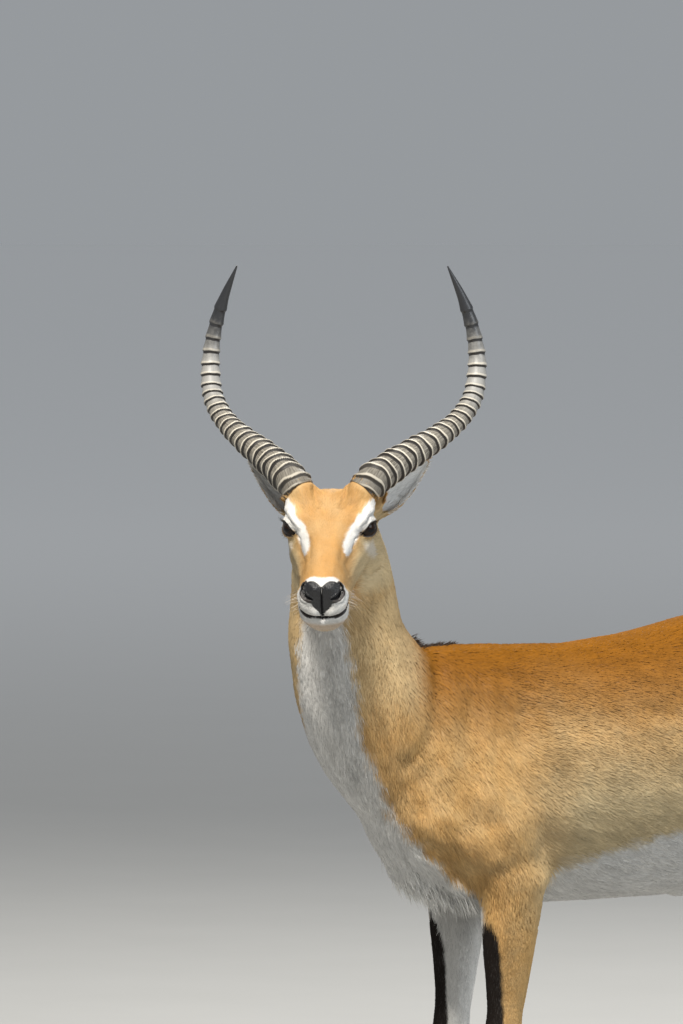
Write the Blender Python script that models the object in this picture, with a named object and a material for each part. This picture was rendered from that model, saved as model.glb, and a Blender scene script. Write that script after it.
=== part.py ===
"""A life-size standing male red lechwe, a marsh antelope, as a still museum model.

The animal is modelled whole from lofts and muscle masses, melted into one form, and then parted with thin
cuts into the pieces a person would name. Its ears, eyes, horns and hooves are pieces of their own.

Frame while building: +X is the animal's left, +Y runs back along the trunk, +Z is up, and the forefeet stand
at y = 0. At the end everything moves so that the origin is at the bottom centre of the whole model.
"""

import math
from dataclasses import astuple, dataclass

import bmesh
import bpy
from mathutils import Matrix, Vector
from mathutils.bvhtree import BVHTree

# ---------------------------------------------------------------- driving dimensions, in metres

WITHERS_HEIGHT = 0.983
CROUP_HEIGHT = 1.037
BELLY_HEIGHT = 0.551
KNEE_HEIGHT = 0.335
HOCK_HEIGHT = 0.43
FETLOCK_HEIGHT = 0.105
CORONET_HEIGHT = 0.044
FORE_STANCE = 0.082  # from the midline to a forefoot
HIND_STANCE = 0.080  # from the midline to a hind foot
HIND_FOOT_Y = 0.735
HIND_STEP = 0.030  # the left hind foot stands this far back of the middle, and the right as far forward
HEAD_CENTRE = Vector((0.080, -0.3295, 1.183))  # midway between the eyes
HEAD_TURN = math.radians(55)  # from straight ahead towards the animal's left
HEAD_DROP = math.radians(27)  # nose below the horizon
EYE_RADIUS = 0.0185
EYE_PLACE = Vector((0.004, 0.0560, -0.001))  # in the head's frame, left eye
HORN_RINGS = 24
HORN_FROM = 0.020  # the share of a horn's line where its fur ends
HORN_SPREAD = {1: 1.055, -1: 1.0}  # the left horn stands a little wider than the right one
EAR_LENGTH = 0.148

CUT = 0.0006  # thickness of a parting cut
GAP = 0.0003  # between a piece and what carries it
MELT_VOXEL = 0.0055
FLESH_TRIANGLES = 3550
FINE_REACH = 0.17  # from the face, where the flesh keeps a little more of its triangles
CRUMB = 1e-6  # the least volume of a piece; a cut can shave off less than this
OVERSHOOT = 1.25  # how far a muscle reaches past its two ends, as a share of its length

# ---------------------------------------------------------------- scene helpers


def clear_scene():
    """Removes whatever a new scene starts with."""
    for item in list(bpy.data.objects):
        bpy.data.objects.remove(item)


def material(name, colour, roughness, metallic=0.0):
    """A Principled material; colour is linear RGB."""
    made = bpy.data.materials.new(name)
    made.use_nodes = True
    shader = made.node_tree.nodes["Principled BSDF"]
    shader.inputs["Base Color"].default_value = (*colour, 1.0)
    shader.inputs["Roughness"].default_value = roughness
    shader.inputs["Metallic"].default_value = metallic
    made.diffuse_color = (*colour, 1.0)
    return made


def link(name, mesh, finish=None):
    """An object for a mesh, with its material."""
    made = bpy.data.objects.new(name, mesh)
    bpy.context.scene.collection.objects.link(made)
    if finish:
        mesh.materials.clear()
        mesh.materials.append(finish)
    return made


def object_from(name, bm, finish=None):
    """An object from a bmesh, with its faces turned outwards."""
    bmesh.ops.recalc_face_normals(bm, faces=bm.faces)
    mesh = bpy.data.meshes.new(name)
    bm.to_mesh(mesh)
    bm.free()
    return link(name, mesh, finish)


def baked(item):
    """Applies the modifiers of an object and returns it."""
    graph = bpy.context.evaluated_depsgraph_get()
    mesh = bpy.data.meshes.new_from_object(item.evaluated_get(graph))
    item.modifiers.clear()
    old, item.data = item.data, mesh
    bpy.data.meshes.remove(old)
    return item


def joined(name, items):
    """One object that holds the meshes of all the given objects, which it removes."""
    bm = bmesh.new()
    for item in items:
        item.data.transform(item.matrix_world)
        bm.from_mesh(item.data)
        bpy.data.objects.remove(item)
    mesh = bpy.data.meshes.new(name)
    bm.to_mesh(mesh)
    bm.free()
    return link(name, mesh)


def boolean(item, cutter, operation="DIFFERENCE"):
    """Applies one exact Boolean and removes the cutter."""
    step = item.modifiers.new("cut", "BOOLEAN")
    step.object = cutter
    step.operation = operation
    step.solver = "EXACT"
    baked(item)
    bpy.data.objects.remove(cutter)
    return item


# ---------------------------------------------------------------- smooth numbers and lofts


def spline(knots, rows, at):
    """Catmull-Rom between rows of numbers that stand at rising knots."""
    last = len(knots) - 1
    i = max(0, min(last - 1, sum(1 for k in knots if k <= at) - 1))
    span = knots[i + 1] - knots[i]
    t = (at - knots[i]) / span

    def slope(j):
        low, high = max(j - 1, 0), min(j + 1, last)
        width = knots[high] - knots[low]
        return [(b - a) / width for a, b in zip(rows[low], rows[high])]

    h0, h1 = (1 + 2 * t) * (1 - t) ** 2, t * (1 - t) ** 2
    h2, h3 = t * t * (3 - 2 * t), t * t * (t - 1)
    here, there = rows[i], rows[i + 1]
    start, end = slope(i), slope(i + 1)
    return [
        h0 * a + h1 * span * m + h2 * b + h3 * span * n
        for a, b, m, n in zip(here, there, start, end)
    ]


def spread(low, high, count):
    """Evenly spaced numbers from low to high."""
    return [low + (high - low) * i / (count - 1) for i in range(count)]


def loft(name, rings, finish=None):
    """A closed solid through rings of equally many points, with a fan over each end."""
    bm = bmesh.new()
    loops = [[bm.verts.new(p) for p in ring] for ring in rings]
    for low, high in zip(loops, loops[1:]):
        for i in range(len(low)):
            j = (i + 1) % len(low)
            bm.faces.new((low[i], low[j], high[j], high[i]))
    for loop in (loops[0], loops[-1]):
        middle = bm.verts.new(sum((v.co for v in loop), Vector()) / len(loop))
        for i in range(len(loop)):
            bm.faces.new((loop[i], loop[(i + 1) % len(loop)], middle))
    return object_from(name, bm, finish)


def power(value, exponent):
    """A power that keeps the sign."""
    return math.copysign(abs(value) ** exponent, value)


@dataclass
class Limb:
    """A ring across a limb: its centre, half its width across, half its depth, and how far it is turned."""

    x: float
    y: float
    z: float
    across: float
    deep: float
    turn: float = 0.0  # degrees about the limb's own line, towards the animal's left


def limb(name, rings, sides, count):
    """Lofts ellipses along a path of Limb rings."""
    rows = [astuple(r) for r in rings]
    knots = [0.0]
    for a, b in zip(rows, rows[1:]):
        knots.append(knots[-1] + (Vector(b[:3]) - Vector(a[:3])).length)
    made = []
    step = knots[-1] / 500
    for at in spread(0.0, knots[-1], count):
        x, y, z, across, deep, turn = spline(knots, rows, at)
        ahead = Vector(spline(knots, rows, min(at + step, knots[-1]))[:3])
        behind = Vector(spline(knots, rows, max(at - step, 0.0))[:3])
        along = (ahead - behind).normalized()
        side = Matrix.Rotation(math.radians(turn), 3, "Z") @ Vector((1, 0, 0))
        side = (side - along * side.dot(along)).normalized()
        depth = along.cross(side)
        ring = []
        for i in range(sides):
            a = math.tau * i / sides
            ring.append(
                Vector((x, y, z))
                + side * across * math.cos(a)
                + depth * deep * math.sin(a)
            )
        made.append(ring)
    return loft(name, made)


def mass(name, start, end, breadth, thickness, flat=(1, 0, 0)):
    """A muscle: an ellipsoid from start to end, thin along flat and broad across it."""
    a, b = Vector(start), Vector(end)
    along = (b - a).normalized()
    thin = Vector(flat)
    thin = (thin - along * thin.dot(along)).normalized()
    wide = along.cross(thin)
    bm = bmesh.new()
    bmesh.ops.create_uvsphere(bm, u_segments=20, v_segments=14, radius=1.0)
    half = (b - a).length / 2 * OVERSHOOT
    frame = Matrix((thin * thickness, wide * breadth, along * half)).transposed()
    bmesh.ops.transform(bm, matrix=frame.to_4x4(), verts=bm.verts)
    bmesh.ops.translate(bm, vec=(a + b) / 2, verts=bm.verts)
    return object_from(name, bm)


def both_sides(name, start, end, breadth, thickness):
    """A muscle and its mirror image across the midline."""
    flip = Vector((-1, 1, 1))
    return [
        mass(name, start, end, breadth, thickness),
        mass(name, flip * Vector(start), flip * Vector(end), breadth, thickness),
    ]


# ---------------------------------------------------------------- trunk


@dataclass
class Slice:
    """A section across the trunk."""

    y: float
    top: float
    bottom: float
    half_width: float
    widest: float  # height of the widest place
    ridge: float  # 2 is round above, under 2 is ridged, over 2 is flat
    keel: float  # the same below


def trunk():
    """The barrel from the breast to the rump."""
    withers, croup, belly = WITHERS_HEIGHT, CROUP_HEIGHT, BELLY_HEIGHT
    slices = (
        Slice(-0.215, withers - 0.175, belly + 0.145, 0.045, 0.750, 2.0, 2.0),
        Slice(-0.185, withers - 0.100, belly + 0.090, 0.078, 0.750, 1.9, 2.0),
        Slice(-0.125, withers - 0.012, belly + 0.040, 0.100, 0.735, 1.6, 1.9),
        Slice(-0.040, withers - 0.002, belly + 0.012, 0.112, 0.720, 1.5, 1.8),
        Slice(0.040, withers - 0.003, belly + 0.003, 0.124, 0.715, 1.6, 1.9),
        Slice(0.140, withers - 0.006, belly, 0.138, 0.720, 1.8, 2.0),
        Slice(0.250, withers + 0.004, belly + 0.001, 0.146, 0.735, 2.0, 2.0),
        Slice(0.350, withers + 0.022, belly + 0.005, 0.144, 0.755, 2.1, 2.0),
        Slice(0.450, croup - 0.010, belly + 0.030, 0.130, 0.785, 2.1, 1.9),
        Slice(0.540, croup, belly + 0.085, 0.118, 0.830, 2.0, 1.8),
        Slice(0.640, croup - 0.010, belly + 0.125, 0.108, 0.850, 2.0, 1.8),
        Slice(0.730, croup - 0.048, belly + 0.165, 0.094, 0.850, 2.0, 1.9),
        Slice(0.800, croup - 0.105, belly + 0.215, 0.068, 0.840, 2.0, 2.0),
        Slice(0.835, croup - 0.155, belly + 0.265, 0.036, 0.840, 2.0, 2.0),
    )
    rows = [astuple(s) for s in slices]
    knots = [s.y for s in slices]
    sides = 28
    rings = []
    for at in spread(knots[0], knots[-1], 60):
        y, top, bottom, half, widest, ridge, keel = spline(knots, rows, at)
        ring = []
        for i in range(sides):
            a = math.tau * i / sides
            above = math.sin(a) >= 0
            n = 2 / (ridge if above else keel)
            rise = top - widest if above else widest - bottom
            ring.append(
                Vector(
                    (
                        half * power(math.cos(a), 2 / 2.2),
                        y,
                        widest + rise * power(math.sin(a), n),
                    )
                )
            )
        rings.append(ring)
    return [loft("trunk", rings)]


def fore_masses():
    """Shoulder blade, upper arm, breast and brisket."""
    return [
        *both_sides("blade", (0.042, 0.010, 0.930), (0.088, -0.110, 0.735), 0.085, 0.026),
        *both_sides("shoulder", (0.078, -0.135, 0.745), (0.084, -0.105, 0.665), 0.050, 0.030),
        *both_sides("triceps", (0.084, -0.055, 0.780), (0.094, 0.035, 0.640), 0.070, 0.034),
        *both_sides("arm", (0.092, -0.095, 0.690), (0.088, 0.010, 0.600), 0.050, 0.036),
        *both_sides("pectoral", (0.040, -0.150, 0.715), (0.058, -0.040, 0.590), 0.046, 0.034),
        mass("breast", (0, -0.176, 0.750), (0, -0.105, 0.620), 0.040, 0.050),
        mass("brisket", (0, -0.115, 0.620), (0, 0.060, 0.565), 0.026, 0.040),
    ]


def hind_masses():
    """Haunch, thigh, stifle and what lies between the hind legs."""
    croup = CROUP_HEIGHT
    return [
        *both_sides("hip", (0.062, 0.480, croup - 0.045), (0.094, 0.550, croup - 0.100), 0.036, 0.020),
        *both_sides("gluteal", (0.060, 0.520, croup - 0.055), (0.078, 0.760, 0.900), 0.082, 0.046),
        *both_sides("thigh", (0.084, 0.650, 0.930), (0.098, 0.580, 0.640), 0.112, 0.050),
        *both_sides("ham", (0.066, 0.780, 0.900), (0.084, 0.725, 0.620), 0.060, 0.048),
        *both_sides("seat", (0.046, 0.775, 0.905), (0.058, 0.800, 0.780), 0.034, 0.034),
        *both_sides("stifle", (0.100, 0.520, 0.680), (0.100, 0.545, 0.600), 0.048, 0.036),
        *both_sides("flank", (0.100, 0.420, 0.720), (0.098, 0.510, 0.645), 0.034, 0.016),
        mass("sheath", (0, 0.370, 0.556), (0, 0.500, 0.592), 0.018, 0.018),
        mass("purse", (0, 0.640, 0.665), (0, 0.652, 0.595), 0.030, 0.033),
    ]


# ---------------------------------------------------------------- legs


def foreleg(side):
    """One foreleg from inside the shoulder to the coronet; side is +1 on the left."""
    stance = FORE_STANCE
    knee, fetlock, coronet = KNEE_HEIGHT, FETLOCK_HEIGHT, CORONET_HEIGHT
    rings = (
        Limb(side * (stance + 0.006), -0.010, 0.690, 0.040, 0.076),
        Limb(side * (stance + 0.006), 0.004, 0.620, 0.041, 0.068),
        Limb(side * (stance + 0.004), 0.006, 0.565, 0.038, 0.058),
        Limb(side * (stance + 0.002), 0.004, 0.500, 0.034, 0.048),
        Limb(side * stance, 0.000, 0.430, 0.029, 0.038),
        Limb(side * stance, -0.004, knee + 0.045, 0.0275, 0.032),
        Limb(side * stance, -0.008, knee, 0.0290, 0.033),
        Limb(side * stance, -0.004, knee - 0.045, 0.0225, 0.0265),
        Limb(side * stance, -0.001, knee - 0.100, 0.0185, 0.0225),
        Limb(side * stance, -0.001, fetlock + 0.055, 0.0190, 0.0230),
        Limb(side * stance, -0.003, fetlock + 0.010, 0.0235, 0.0285),
        Limb(side * stance, -0.014, fetlock - 0.025, 0.0215, 0.0245),
        Limb(side * stance, -0.027, coronet + 0.010, 0.0250, 0.0270),
        Limb(side * stance, -0.034, coronet - 0.022, 0.0270, 0.0300),
    )
    elbow = mass("elbow", (side * 0.094, 0.030, 0.640), (side * 0.092, 0.062, 0.590), 0.024, 0.022)
    return [limb("foreleg", rings, 16, 70), elbow]


def hindleg(side, step):
    """One hind leg from inside the thigh to the coronet; step moves the foot back, in metres."""
    stance, foot = HIND_STANCE, HIND_FOOT_Y + step
    hock, fetlock, coronet = HOCK_HEIGHT, FETLOCK_HEIGHT, CORONET_HEIGHT
    lean = step * 0.8
    rings = (
        Limb(side * 0.086, 0.640, 0.780, 0.050, 0.120),
        Limb(side * 0.092, 0.618 + step * 0.1, 0.690, 0.048, 0.108),
        Limb(side * 0.094, 0.632 + step * 0.3, 0.610, 0.042, 0.084),
        Limb(side * 0.090, 0.678 + step * 0.5, 0.540, 0.034, 0.056),
        Limb(side * 0.086, 0.722 + step * 0.7, 0.485, 0.027, 0.040),
        Limb(side * 0.083, 0.762 + lean, hock + 0.005, 0.0245, 0.036),
        Limb(side * 0.081, 0.776 + lean, hock - 0.040, 0.0255, 0.036),
        Limb(side * stance, 0.774 + lean, hock - 0.085, 0.0225, 0.0300),
        Limb(side * stance, 0.769 + lean, hock - 0.150, 0.0195, 0.0250),
        Limb(side * stance, foot + 0.026, fetlock + 0.070, 0.0195, 0.0245),
        Limb(side * stance, foot + 0.022, fetlock + 0.012, 0.0235, 0.0290),
        Limb(side * stance, foot + 0.009, fetlock - 0.025, 0.0215, 0.0245),
        Limb(side * stance, foot - 0.006, coronet + 0.010, 0.0250, 0.0270),
        Limb(side * stance, foot - 0.013, coronet - 0.022, 0.0270, 0.0300),
    )
    heel = mass(
        "heel",
        (side * 0.081, 0.772 + lean, hock - 0.030),
        (side * 0.083, 0.806 + lean, hock + 0.030),
        0.017,
        0.0155,
    )
    cord = mass(
        "tendon",
        (side * 0.083, 0.808 + lean, hock + 0.030),
        (side * 0.088, 0.730 + step * 0.5, 0.580),
        0.018,
        0.0110,
    )
    return [limb("hindleg", rings, 16, 70), heel, cord]


def dewclaws(side, stance, y):
    """The two small claws behind a fetlock, grown onto the pastern."""
    made = []
    for way in (-1, 1):
        x = side * stance + way * 0.013
        top, tip = (x, y + 0.020, FETLOCK_HEIGHT - 0.004), (x, y + 0.030, FETLOCK_HEIGHT - 0.026)
        made.append(mass("dewclaw", top, tip, 0.009, 0.0085))
    return made


# ---------------------------------------------------------------- neck, head frame and head

HEADING = Vector((math.sin(HEAD_TURN), -math.cos(HEAD_TURN), 0))
FORWARD = HEADING * math.cos(HEAD_DROP) - Vector((0, 0, math.sin(HEAD_DROP)))
LEFT = Vector((math.cos(HEAD_TURN), math.sin(HEAD_TURN), 0))
UP = FORWARD.cross(LEFT)
HEAD_AXES = Matrix((FORWARD, LEFT, UP)).transposed()


def on_head(forward, left, up):
    """A point given in the head's frame: forward to the nose, to the animal's left, and up."""
    return HEAD_CENTRE + HEAD_AXES @ Vector((forward, left, up))


def neck():
    """The neck, which twists to follow the turned head."""
    low, top = WITHERS_HEIGHT, on_head(-0.080, -0.003, -0.035)
    rings = (
        Limb(0, -0.010, low - 0.200, 0.084, 0.150),
        Limb(0, -0.095, low - 0.180, 0.092, 0.158),
        Limb(0, -0.158, low - 0.145, 0.093, 0.142),
        Limb(0, -0.214, low - 0.080, 0.088, 0.125),
        Limb(0.002, -0.250, low - 0.002, 0.082, 0.106, 6),
        Limb(0.006, -0.261, low + 0.070, 0.077, 0.098, 14),
        Limb(0.010, -0.270, low + 0.135, 0.077, 0.088, 28),
        Limb(top.x, top.y, top.z, 0.067, 0.070, 48),
    )
    throat = mass("throat", on_head(-0.050, 0, -0.085), (0.018, -0.300, 1.040), 0.046, 0.052, LEFT)
    return [limb("neck", rings, 24, 44), throat]


@dataclass
class Section:
    """A section across the head. Heights are in the head's frame, and the rest are half widths."""

    forward: float
    top: float
    bottom: float
    crown: float  # near the top line
    brow: float
    brow_up: float  # height of the brow width
    cheek: float
    cheek_up: float
    jaw: float


def head_shell():
    """The head from the nose to the poll, without its muscles."""
    sections = (
        Section(0.1800, -0.020, -0.076, 0.012, 0.019, -0.034, 0.022, -0.054, 0.012),
        Section(0.1740, -0.009, -0.090, 0.018, 0.029, -0.028, 0.035, -0.060, 0.021),
        Section(0.1600, -0.002, -0.102, 0.019, 0.034, -0.024, 0.041, -0.060, 0.027),
        Section(0.1350, 0.000, -0.102, 0.019, 0.034, -0.022, 0.043, -0.058, 0.029),
        Section(0.1050, 0.006, -0.094, 0.020, 0.034, -0.018, 0.043, -0.054, 0.028),
        Section(0.0650, 0.016, -0.093, 0.023, 0.041, -0.010, 0.052, -0.052, 0.030),
        Section(0.0300, 0.026, -0.096, 0.028, 0.056, -0.002, 0.062, -0.050, 0.034),
        Section(0.0000, 0.034, -0.102, 0.036, 0.0660, 0.006, 0.066, -0.050, 0.038),
        Section(-0.0300, 0.038, -0.108, 0.044, 0.0670, 0.008, 0.067, -0.052, 0.040),
        Section(-0.0600, 0.033, -0.108, 0.043, 0.0610, 0.004, 0.065, -0.052, 0.038),
        Section(-0.0900, 0.018, -0.090, 0.034, 0.0540, -0.006, 0.056, -0.048, 0.032),
        Section(-0.1120, -0.004, -0.062, 0.022, 0.038, -0.016, 0.038, -0.036, 0.022),
    )
    rows = [[-s.forward, *astuple(s)[1:]] for s in sections]
    knots = [row[0] for row in rows]
    sides = 28
    rings = []
    for at in spread(knots[0], knots[-1], 56):
        back, top, bottom, crown, brow, brow_up, cheek, cheek_up, jaw = spline(knots, rows, at)
        depth = top - bottom
        half = (
            (0.0, top),
            (crown, top - 0.05 * depth),
            (brow, brow_up),
            (cheek, cheek_up),
            (jaw, bottom + 0.07 * depth),
            (0.0, bottom),
        )
        outline = [*half, *((-y, z) for y, z in half[-2:0:-1])]
        count = len(outline)
        looped = [outline[i % count] for i in range(-2, count + 3)]
        places = list(range(-2, count + 3))
        ring = []
        for i in range(sides):
            y, z = spline(places, looped, count * i / sides)
            ring.append(on_head(-back, y, z))
        rings.append(ring)
    return loft("head", rings)


def head_masses():
    """Brows, cheekbones, chewing muscles, horn pedicles, ear roots, lips and nostril wings."""
    made = []
    for side in (1, -1):

        def bulge(name, a, b, breadth, thickness, flat=(0, 1, 0)):
            a, b = on_head(a[0], side * a[1], a[2]), on_head(b[0], side * b[1], b[2])
            made.append(mass(name, a, b, breadth, thickness, HEAD_AXES @ Vector(flat)))

        bulge("brow", (0.020, 0.056, 0.018), (-0.034, 0.066, 0.026), 0.013, 0.013)
        bulge("orbit", (0.014, 0.054, -0.002), (-0.008, 0.058, -0.002), 0.0200, 0.0155)
        bulge("cheekbone", (0.060, 0.043, -0.024), (-0.050, 0.063, -0.022), 0.015, 0.0130)
        bulge("chewing", (0.006, 0.053, -0.050), (-0.066, 0.053, -0.078), 0.033, 0.0185)
        bulge("nostril", (0.166, 0.022, -0.022), (0.150, 0.029, -0.034), 0.014, 0.0125)
        bulge("lip", (0.168, 0.018, -0.058), (0.130, 0.034, -0.062), 0.015, 0.0135)
        made.append(pedicle(side))
        made.append(ear_root(side))
    chin = mass("chin", on_head(0.166, 0, -0.093), on_head(0.138, 0, -0.095), 0.017, 0.025, LEFT)
    return [head_shell(), *made, chin]


# ---------------------------------------------------------------- horns

HORN_BASE = Vector((-0.040, 0.0475, 0.0350))  # in the head's frame, left horn
# The left horn's line from its base: outwards, backwards and upwards by the horizon, and its radius.
HORN_LINE = (
    (0.000, 0.000, 0.000, 0.0262),
    (0.014, 0.013, 0.018, 0.0262),
    (0.033, 0.036, 0.034, 0.0252),
    (0.062, 0.070, 0.055, 0.0230),
    (0.1275, 0.136, 0.102, 0.0168),
    (0.157, 0.168, 0.144, 0.0160),
    (0.1645, 0.186, 0.196, 0.0147),
    (0.160, 0.190, 0.246, 0.0118),
    (0.145, 0.185, 0.301, 0.0090),
    (0.120, 0.173, 0.361, 0.0012),
)
# The rings stand close in the middle and farther apart near the tip: numbers of rings, and where they stand.
RING_NUMBERS = (0, 10, 17, 19, 21, 23)
RING_SHARES = (0.040, 0.394, 0.594, 0.666, 0.752, 0.849)
HORN_WAY = Vector((0.60, 0.35, 0.72))  # how the base faces, in the same directions


def horn_path(side):
    """Functions from 0 at the base to 1 at the tip that give the horn's centre and its radius."""
    base = on_head(HORN_BASE.x, side * HORN_BASE.y, HORN_BASE.z)
    rows = []
    for out, back, rise, radius in HORN_LINE:
        place = base + LEFT * side * out * HORN_SPREAD[side] - HEADING * back + Vector((0, 0, rise))
        rows.append((*place, radius))
    knots = [0.0]
    for a, b in zip(rows, rows[1:]):
        knots.append(knots[-1] + (Vector(b[:3]) - Vector(a[:3])).length)
    length = knots[-1]

    def place(t):
        return Vector(spline(knots, rows, min(max(t, 0.0), 1.0) * length)[:3])

    def radius(t):
        return spline(knots, rows, min(max(t, 0.0), 1.0) * length)[3]

    return place, radius


def horn_root(side):
    """The horn's first direction, and the point where it leaves its furred pedicle."""
    place, _ = horn_path(side)
    way = LEFT * side * HORN_WAY.x - HEADING * HORN_WAY.y + Vector((0, 0, HORN_WAY.z))
    return place(HORN_FROM), way.normalized()


def pedicle(side):
    """The furred base under a horn, which the head's cut leaves flat on top."""
    place, way = horn_root(side)
    inward = on_head(-0.034, side * 0.030, 0.000)
    turn = math.degrees(HEAD_TURN)
    rings = (
        Limb(*inward, 0.030, 0.032, turn),
        Limb(*place.lerp(inward, 0.5), 0.0300, 0.0305, turn),
        Limb(*(place - way * 0.008), 0.0285, 0.0290, turn),
        Limb(*(place + way * 0.012), 0.0262, 0.0268, turn),
    )
    return limb("pedicle", rings, 18, 14)


def ring_share(number):
    """Where on the horn's line a ring stands; numbers between two rings give places between them."""
    last = len(RING_NUMBERS) - 1
    i = max(0, min(last - 1, sum(1 for n in RING_NUMBERS if n <= number) - 1))
    low, high = RING_NUMBERS[i], RING_NUMBERS[i + 1]
    return RING_SHARES[i] + (RING_SHARES[i + 1] - RING_SHARES[i]) * (number - low) / (high - low)


def ring_height(t):
    """How far the rings stand out along the horn, as a share of its radius, with the tip smooth."""
    return 0.085 * max(0.0, min(1.0, (0.95 - t) / 0.20))


def horn(side, finish):
    """One lyre-shaped horn with its annular rings."""
    place, radius = horn_path(side)
    _, way = horn_root(side)
    foot = 0.22  # a ring drops steeply towards the base, over this share of the way between two rings
    stations = [HORN_FROM]
    for k in range(HORN_RINGS):
        stations += [ring_share(k - foot), ring_share(k)]
    stations += spread(ring_share(HORN_RINGS - 1), 0.992, 6)[1:]
    sides = 10
    made = []
    out = LEFT * side
    for n, t in enumerate(stations):
        along = (place(t + 0.012) - place(t - 0.012)).normalized()
        along = along.lerp(way, max(0.0, 1 - (t - HORN_FROM) / 0.06)).normalized()
        cross = (out - along * out.dot(along)).normalized()
        front = along.cross(cross)
        ringed = 1 <= n <= 2 * HORN_RINGS
        crest = ringed and n % 2 == 0
        size = radius(t) * (1 + (ring_height(t) if crest else -0.6 * ring_height(t) if ringed else 0))
        centre = place(t) + (way * GAP if n == 0 else Vector())
        ring = []
        for i in range(sides):
            a = math.tau * i / sides
            ring.append(centre + cross * size * math.cos(a) + front * size * 1.06 * math.sin(a))
        made.append(ring)
    name = "horn_left" if side > 0 else "horn_right"
    return loft(name, made, finish)


# ---------------------------------------------------------------- ears

EAR_BASE = Vector((-0.078, 0.0590, -0.0250))  # in the head's frame, left ear
EAR_WAY = Vector((-0.117, 0.0756, 0.032))
EAR_STEM = 0.022  # along the ear, from its base to where the head's flesh ends


def ear_axes(side):
    """The ear's base point, its long axis, the way its cup opens, and its breadth."""
    base = on_head(EAR_BASE.x, side * EAR_BASE.y, EAR_BASE.z)
    along = (HEAD_AXES @ Vector((EAR_WAY.x, side * EAR_WAY.y, EAR_WAY.z))).normalized()
    opens = HEADING * 0.80 + LEFT * side * 0.42 - Vector((0, 0, 0.42))
    opens = (opens - along * opens.dot(along)).normalized()
    return base, along, opens, along.cross(opens)


def ear_root(side):
    """The fleshy stem that carries an ear."""
    base, along, opens, _ = ear_axes(side)
    start = base - along * 0.022
    return mass("ear_root", start, base + along * (EAR_STEM + 0.012), 0.0165, 0.0180, opens)


def ear(side, finish):
    """A pointed cup: an outer leaf with an inner leaf cut away."""
    base, along, opens, broad = ear_axes(side)
    length = EAR_LENGTH - EAR_STEM
    # share of the length, half breadth, half depth
    leaf = (
        (0.00, 0.0150, 0.0155),
        (0.15, 0.0230, 0.0190),
        (0.38, 0.0300, 0.0190),
        (0.62, 0.0265, 0.0150),
        (0.84, 0.0150, 0.0090),
        (1.00, 0.0014, 0.0014),
    )
    knots = [row[0] for row in leaf]
    start = base + along * (EAR_STEM + GAP)

    def shell(name, low, high, thinner, shift):
        """The leaf between two shares of its length, made thinner and shifted towards the opening."""
        sides, least = 10, 0.0008
        made = []
        for t in spread(low, high, 8):
            _, wide, deep = spline(knots, leaf, t)
            wide, deep = max(wide - thinner, least), max(deep - thinner, least)
            centre = start + along * length * t + opens * shift
            ring = []
            for i in range(sides):
                a = math.tau * i / sides
                ring.append(centre + broad * wide * math.cos(a) + opens * deep * math.sin(a))
            made.append(ring)
        return loft(name, made)

    outer = shell("ear_left" if side > 0 else "ear_right", 0.0, 1.0, 0.0, 0.0)
    inner = shell("ear_hollow", 0.10, 0.985, 0.0034, 0.0110)
    outer.data.materials.append(finish)
    return boolean(outer, inner)


# ---------------------------------------------------------------- hooves and tail


CLAW_APART = 0.0145  # from the middle of a foot to the middle of each claw
CLAW_SPLAY = math.radians(-4)


def claw(name, x, y, splay, finish):
    """One claw of a cloven hoof, flat below, with its toe pointing forward."""
    high = CORONET_HEIGHT
    # from heel to toe: distance back, half width, height of the top
    steps = (
        (0.0300, 0.0095, high * 0.50),
        (0.0080, 0.0130, high * 0.74),
        (-0.0240, 0.0122, high),
        (-0.0380, 0.0105, high * 0.72),
        (-0.0560, 0.0075, high * 0.36),
        (-0.0680, 0.0036, high * 0.13),
    )
    rings = []
    for back, half, top in steps:
        shape = (
            (half * 0.92, 0.0),
            (half, top * 0.30),
            (half * 0.86, top * 0.80),
            (half * 0.50, top),
            (-half * 0.50, top),
            (-half * 0.86, top * 0.80),
            (-half, top * 0.30),
            (-half * 0.92, 0.0),
        )
        rings.append([Vector((dx, back, z)) for dx, z in shape])
    made = loft(name, rings, finish)
    place = Matrix.Translation((x, y, 0)) @ Matrix.Rotation(splay, 4, "Z")
    made.data.transform(place)
    return made


def coronet_cutter(x, y):
    """Takes away the flesh below the top of one foot's claws."""
    heel, toe = Vector((0, 0.050, CORONET_HEIGHT * 0.42)), Vector((0, -0.024, CORONET_HEIGHT))
    block = Vector((0.12, 0.14, 0.10))
    slope = (toe - heel).normalized()
    normal = Vector((1, 0, 0)).cross(slope).normalized()
    if normal.z < 0:
        normal = -normal
    rest = Matrix((Vector((1, 0, 0)), slope, normal)).transposed().to_4x4()
    bm = bmesh.new()
    bmesh.ops.create_cube(bm, size=1.0)
    bmesh.ops.scale(bm, vec=block, verts=bm.verts)
    bmesh.ops.translate(bm, vec=(0, 0, GAP - block.z / 2), verts=bm.verts)
    bmesh.ops.transform(bm, matrix=rest, verts=bm.verts)
    bmesh.ops.translate(bm, vec=(toe + heel) / 2 + Vector((x, y, 0)), verts=bm.verts)
    return object_from("coronet_cutter", bm)


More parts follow.
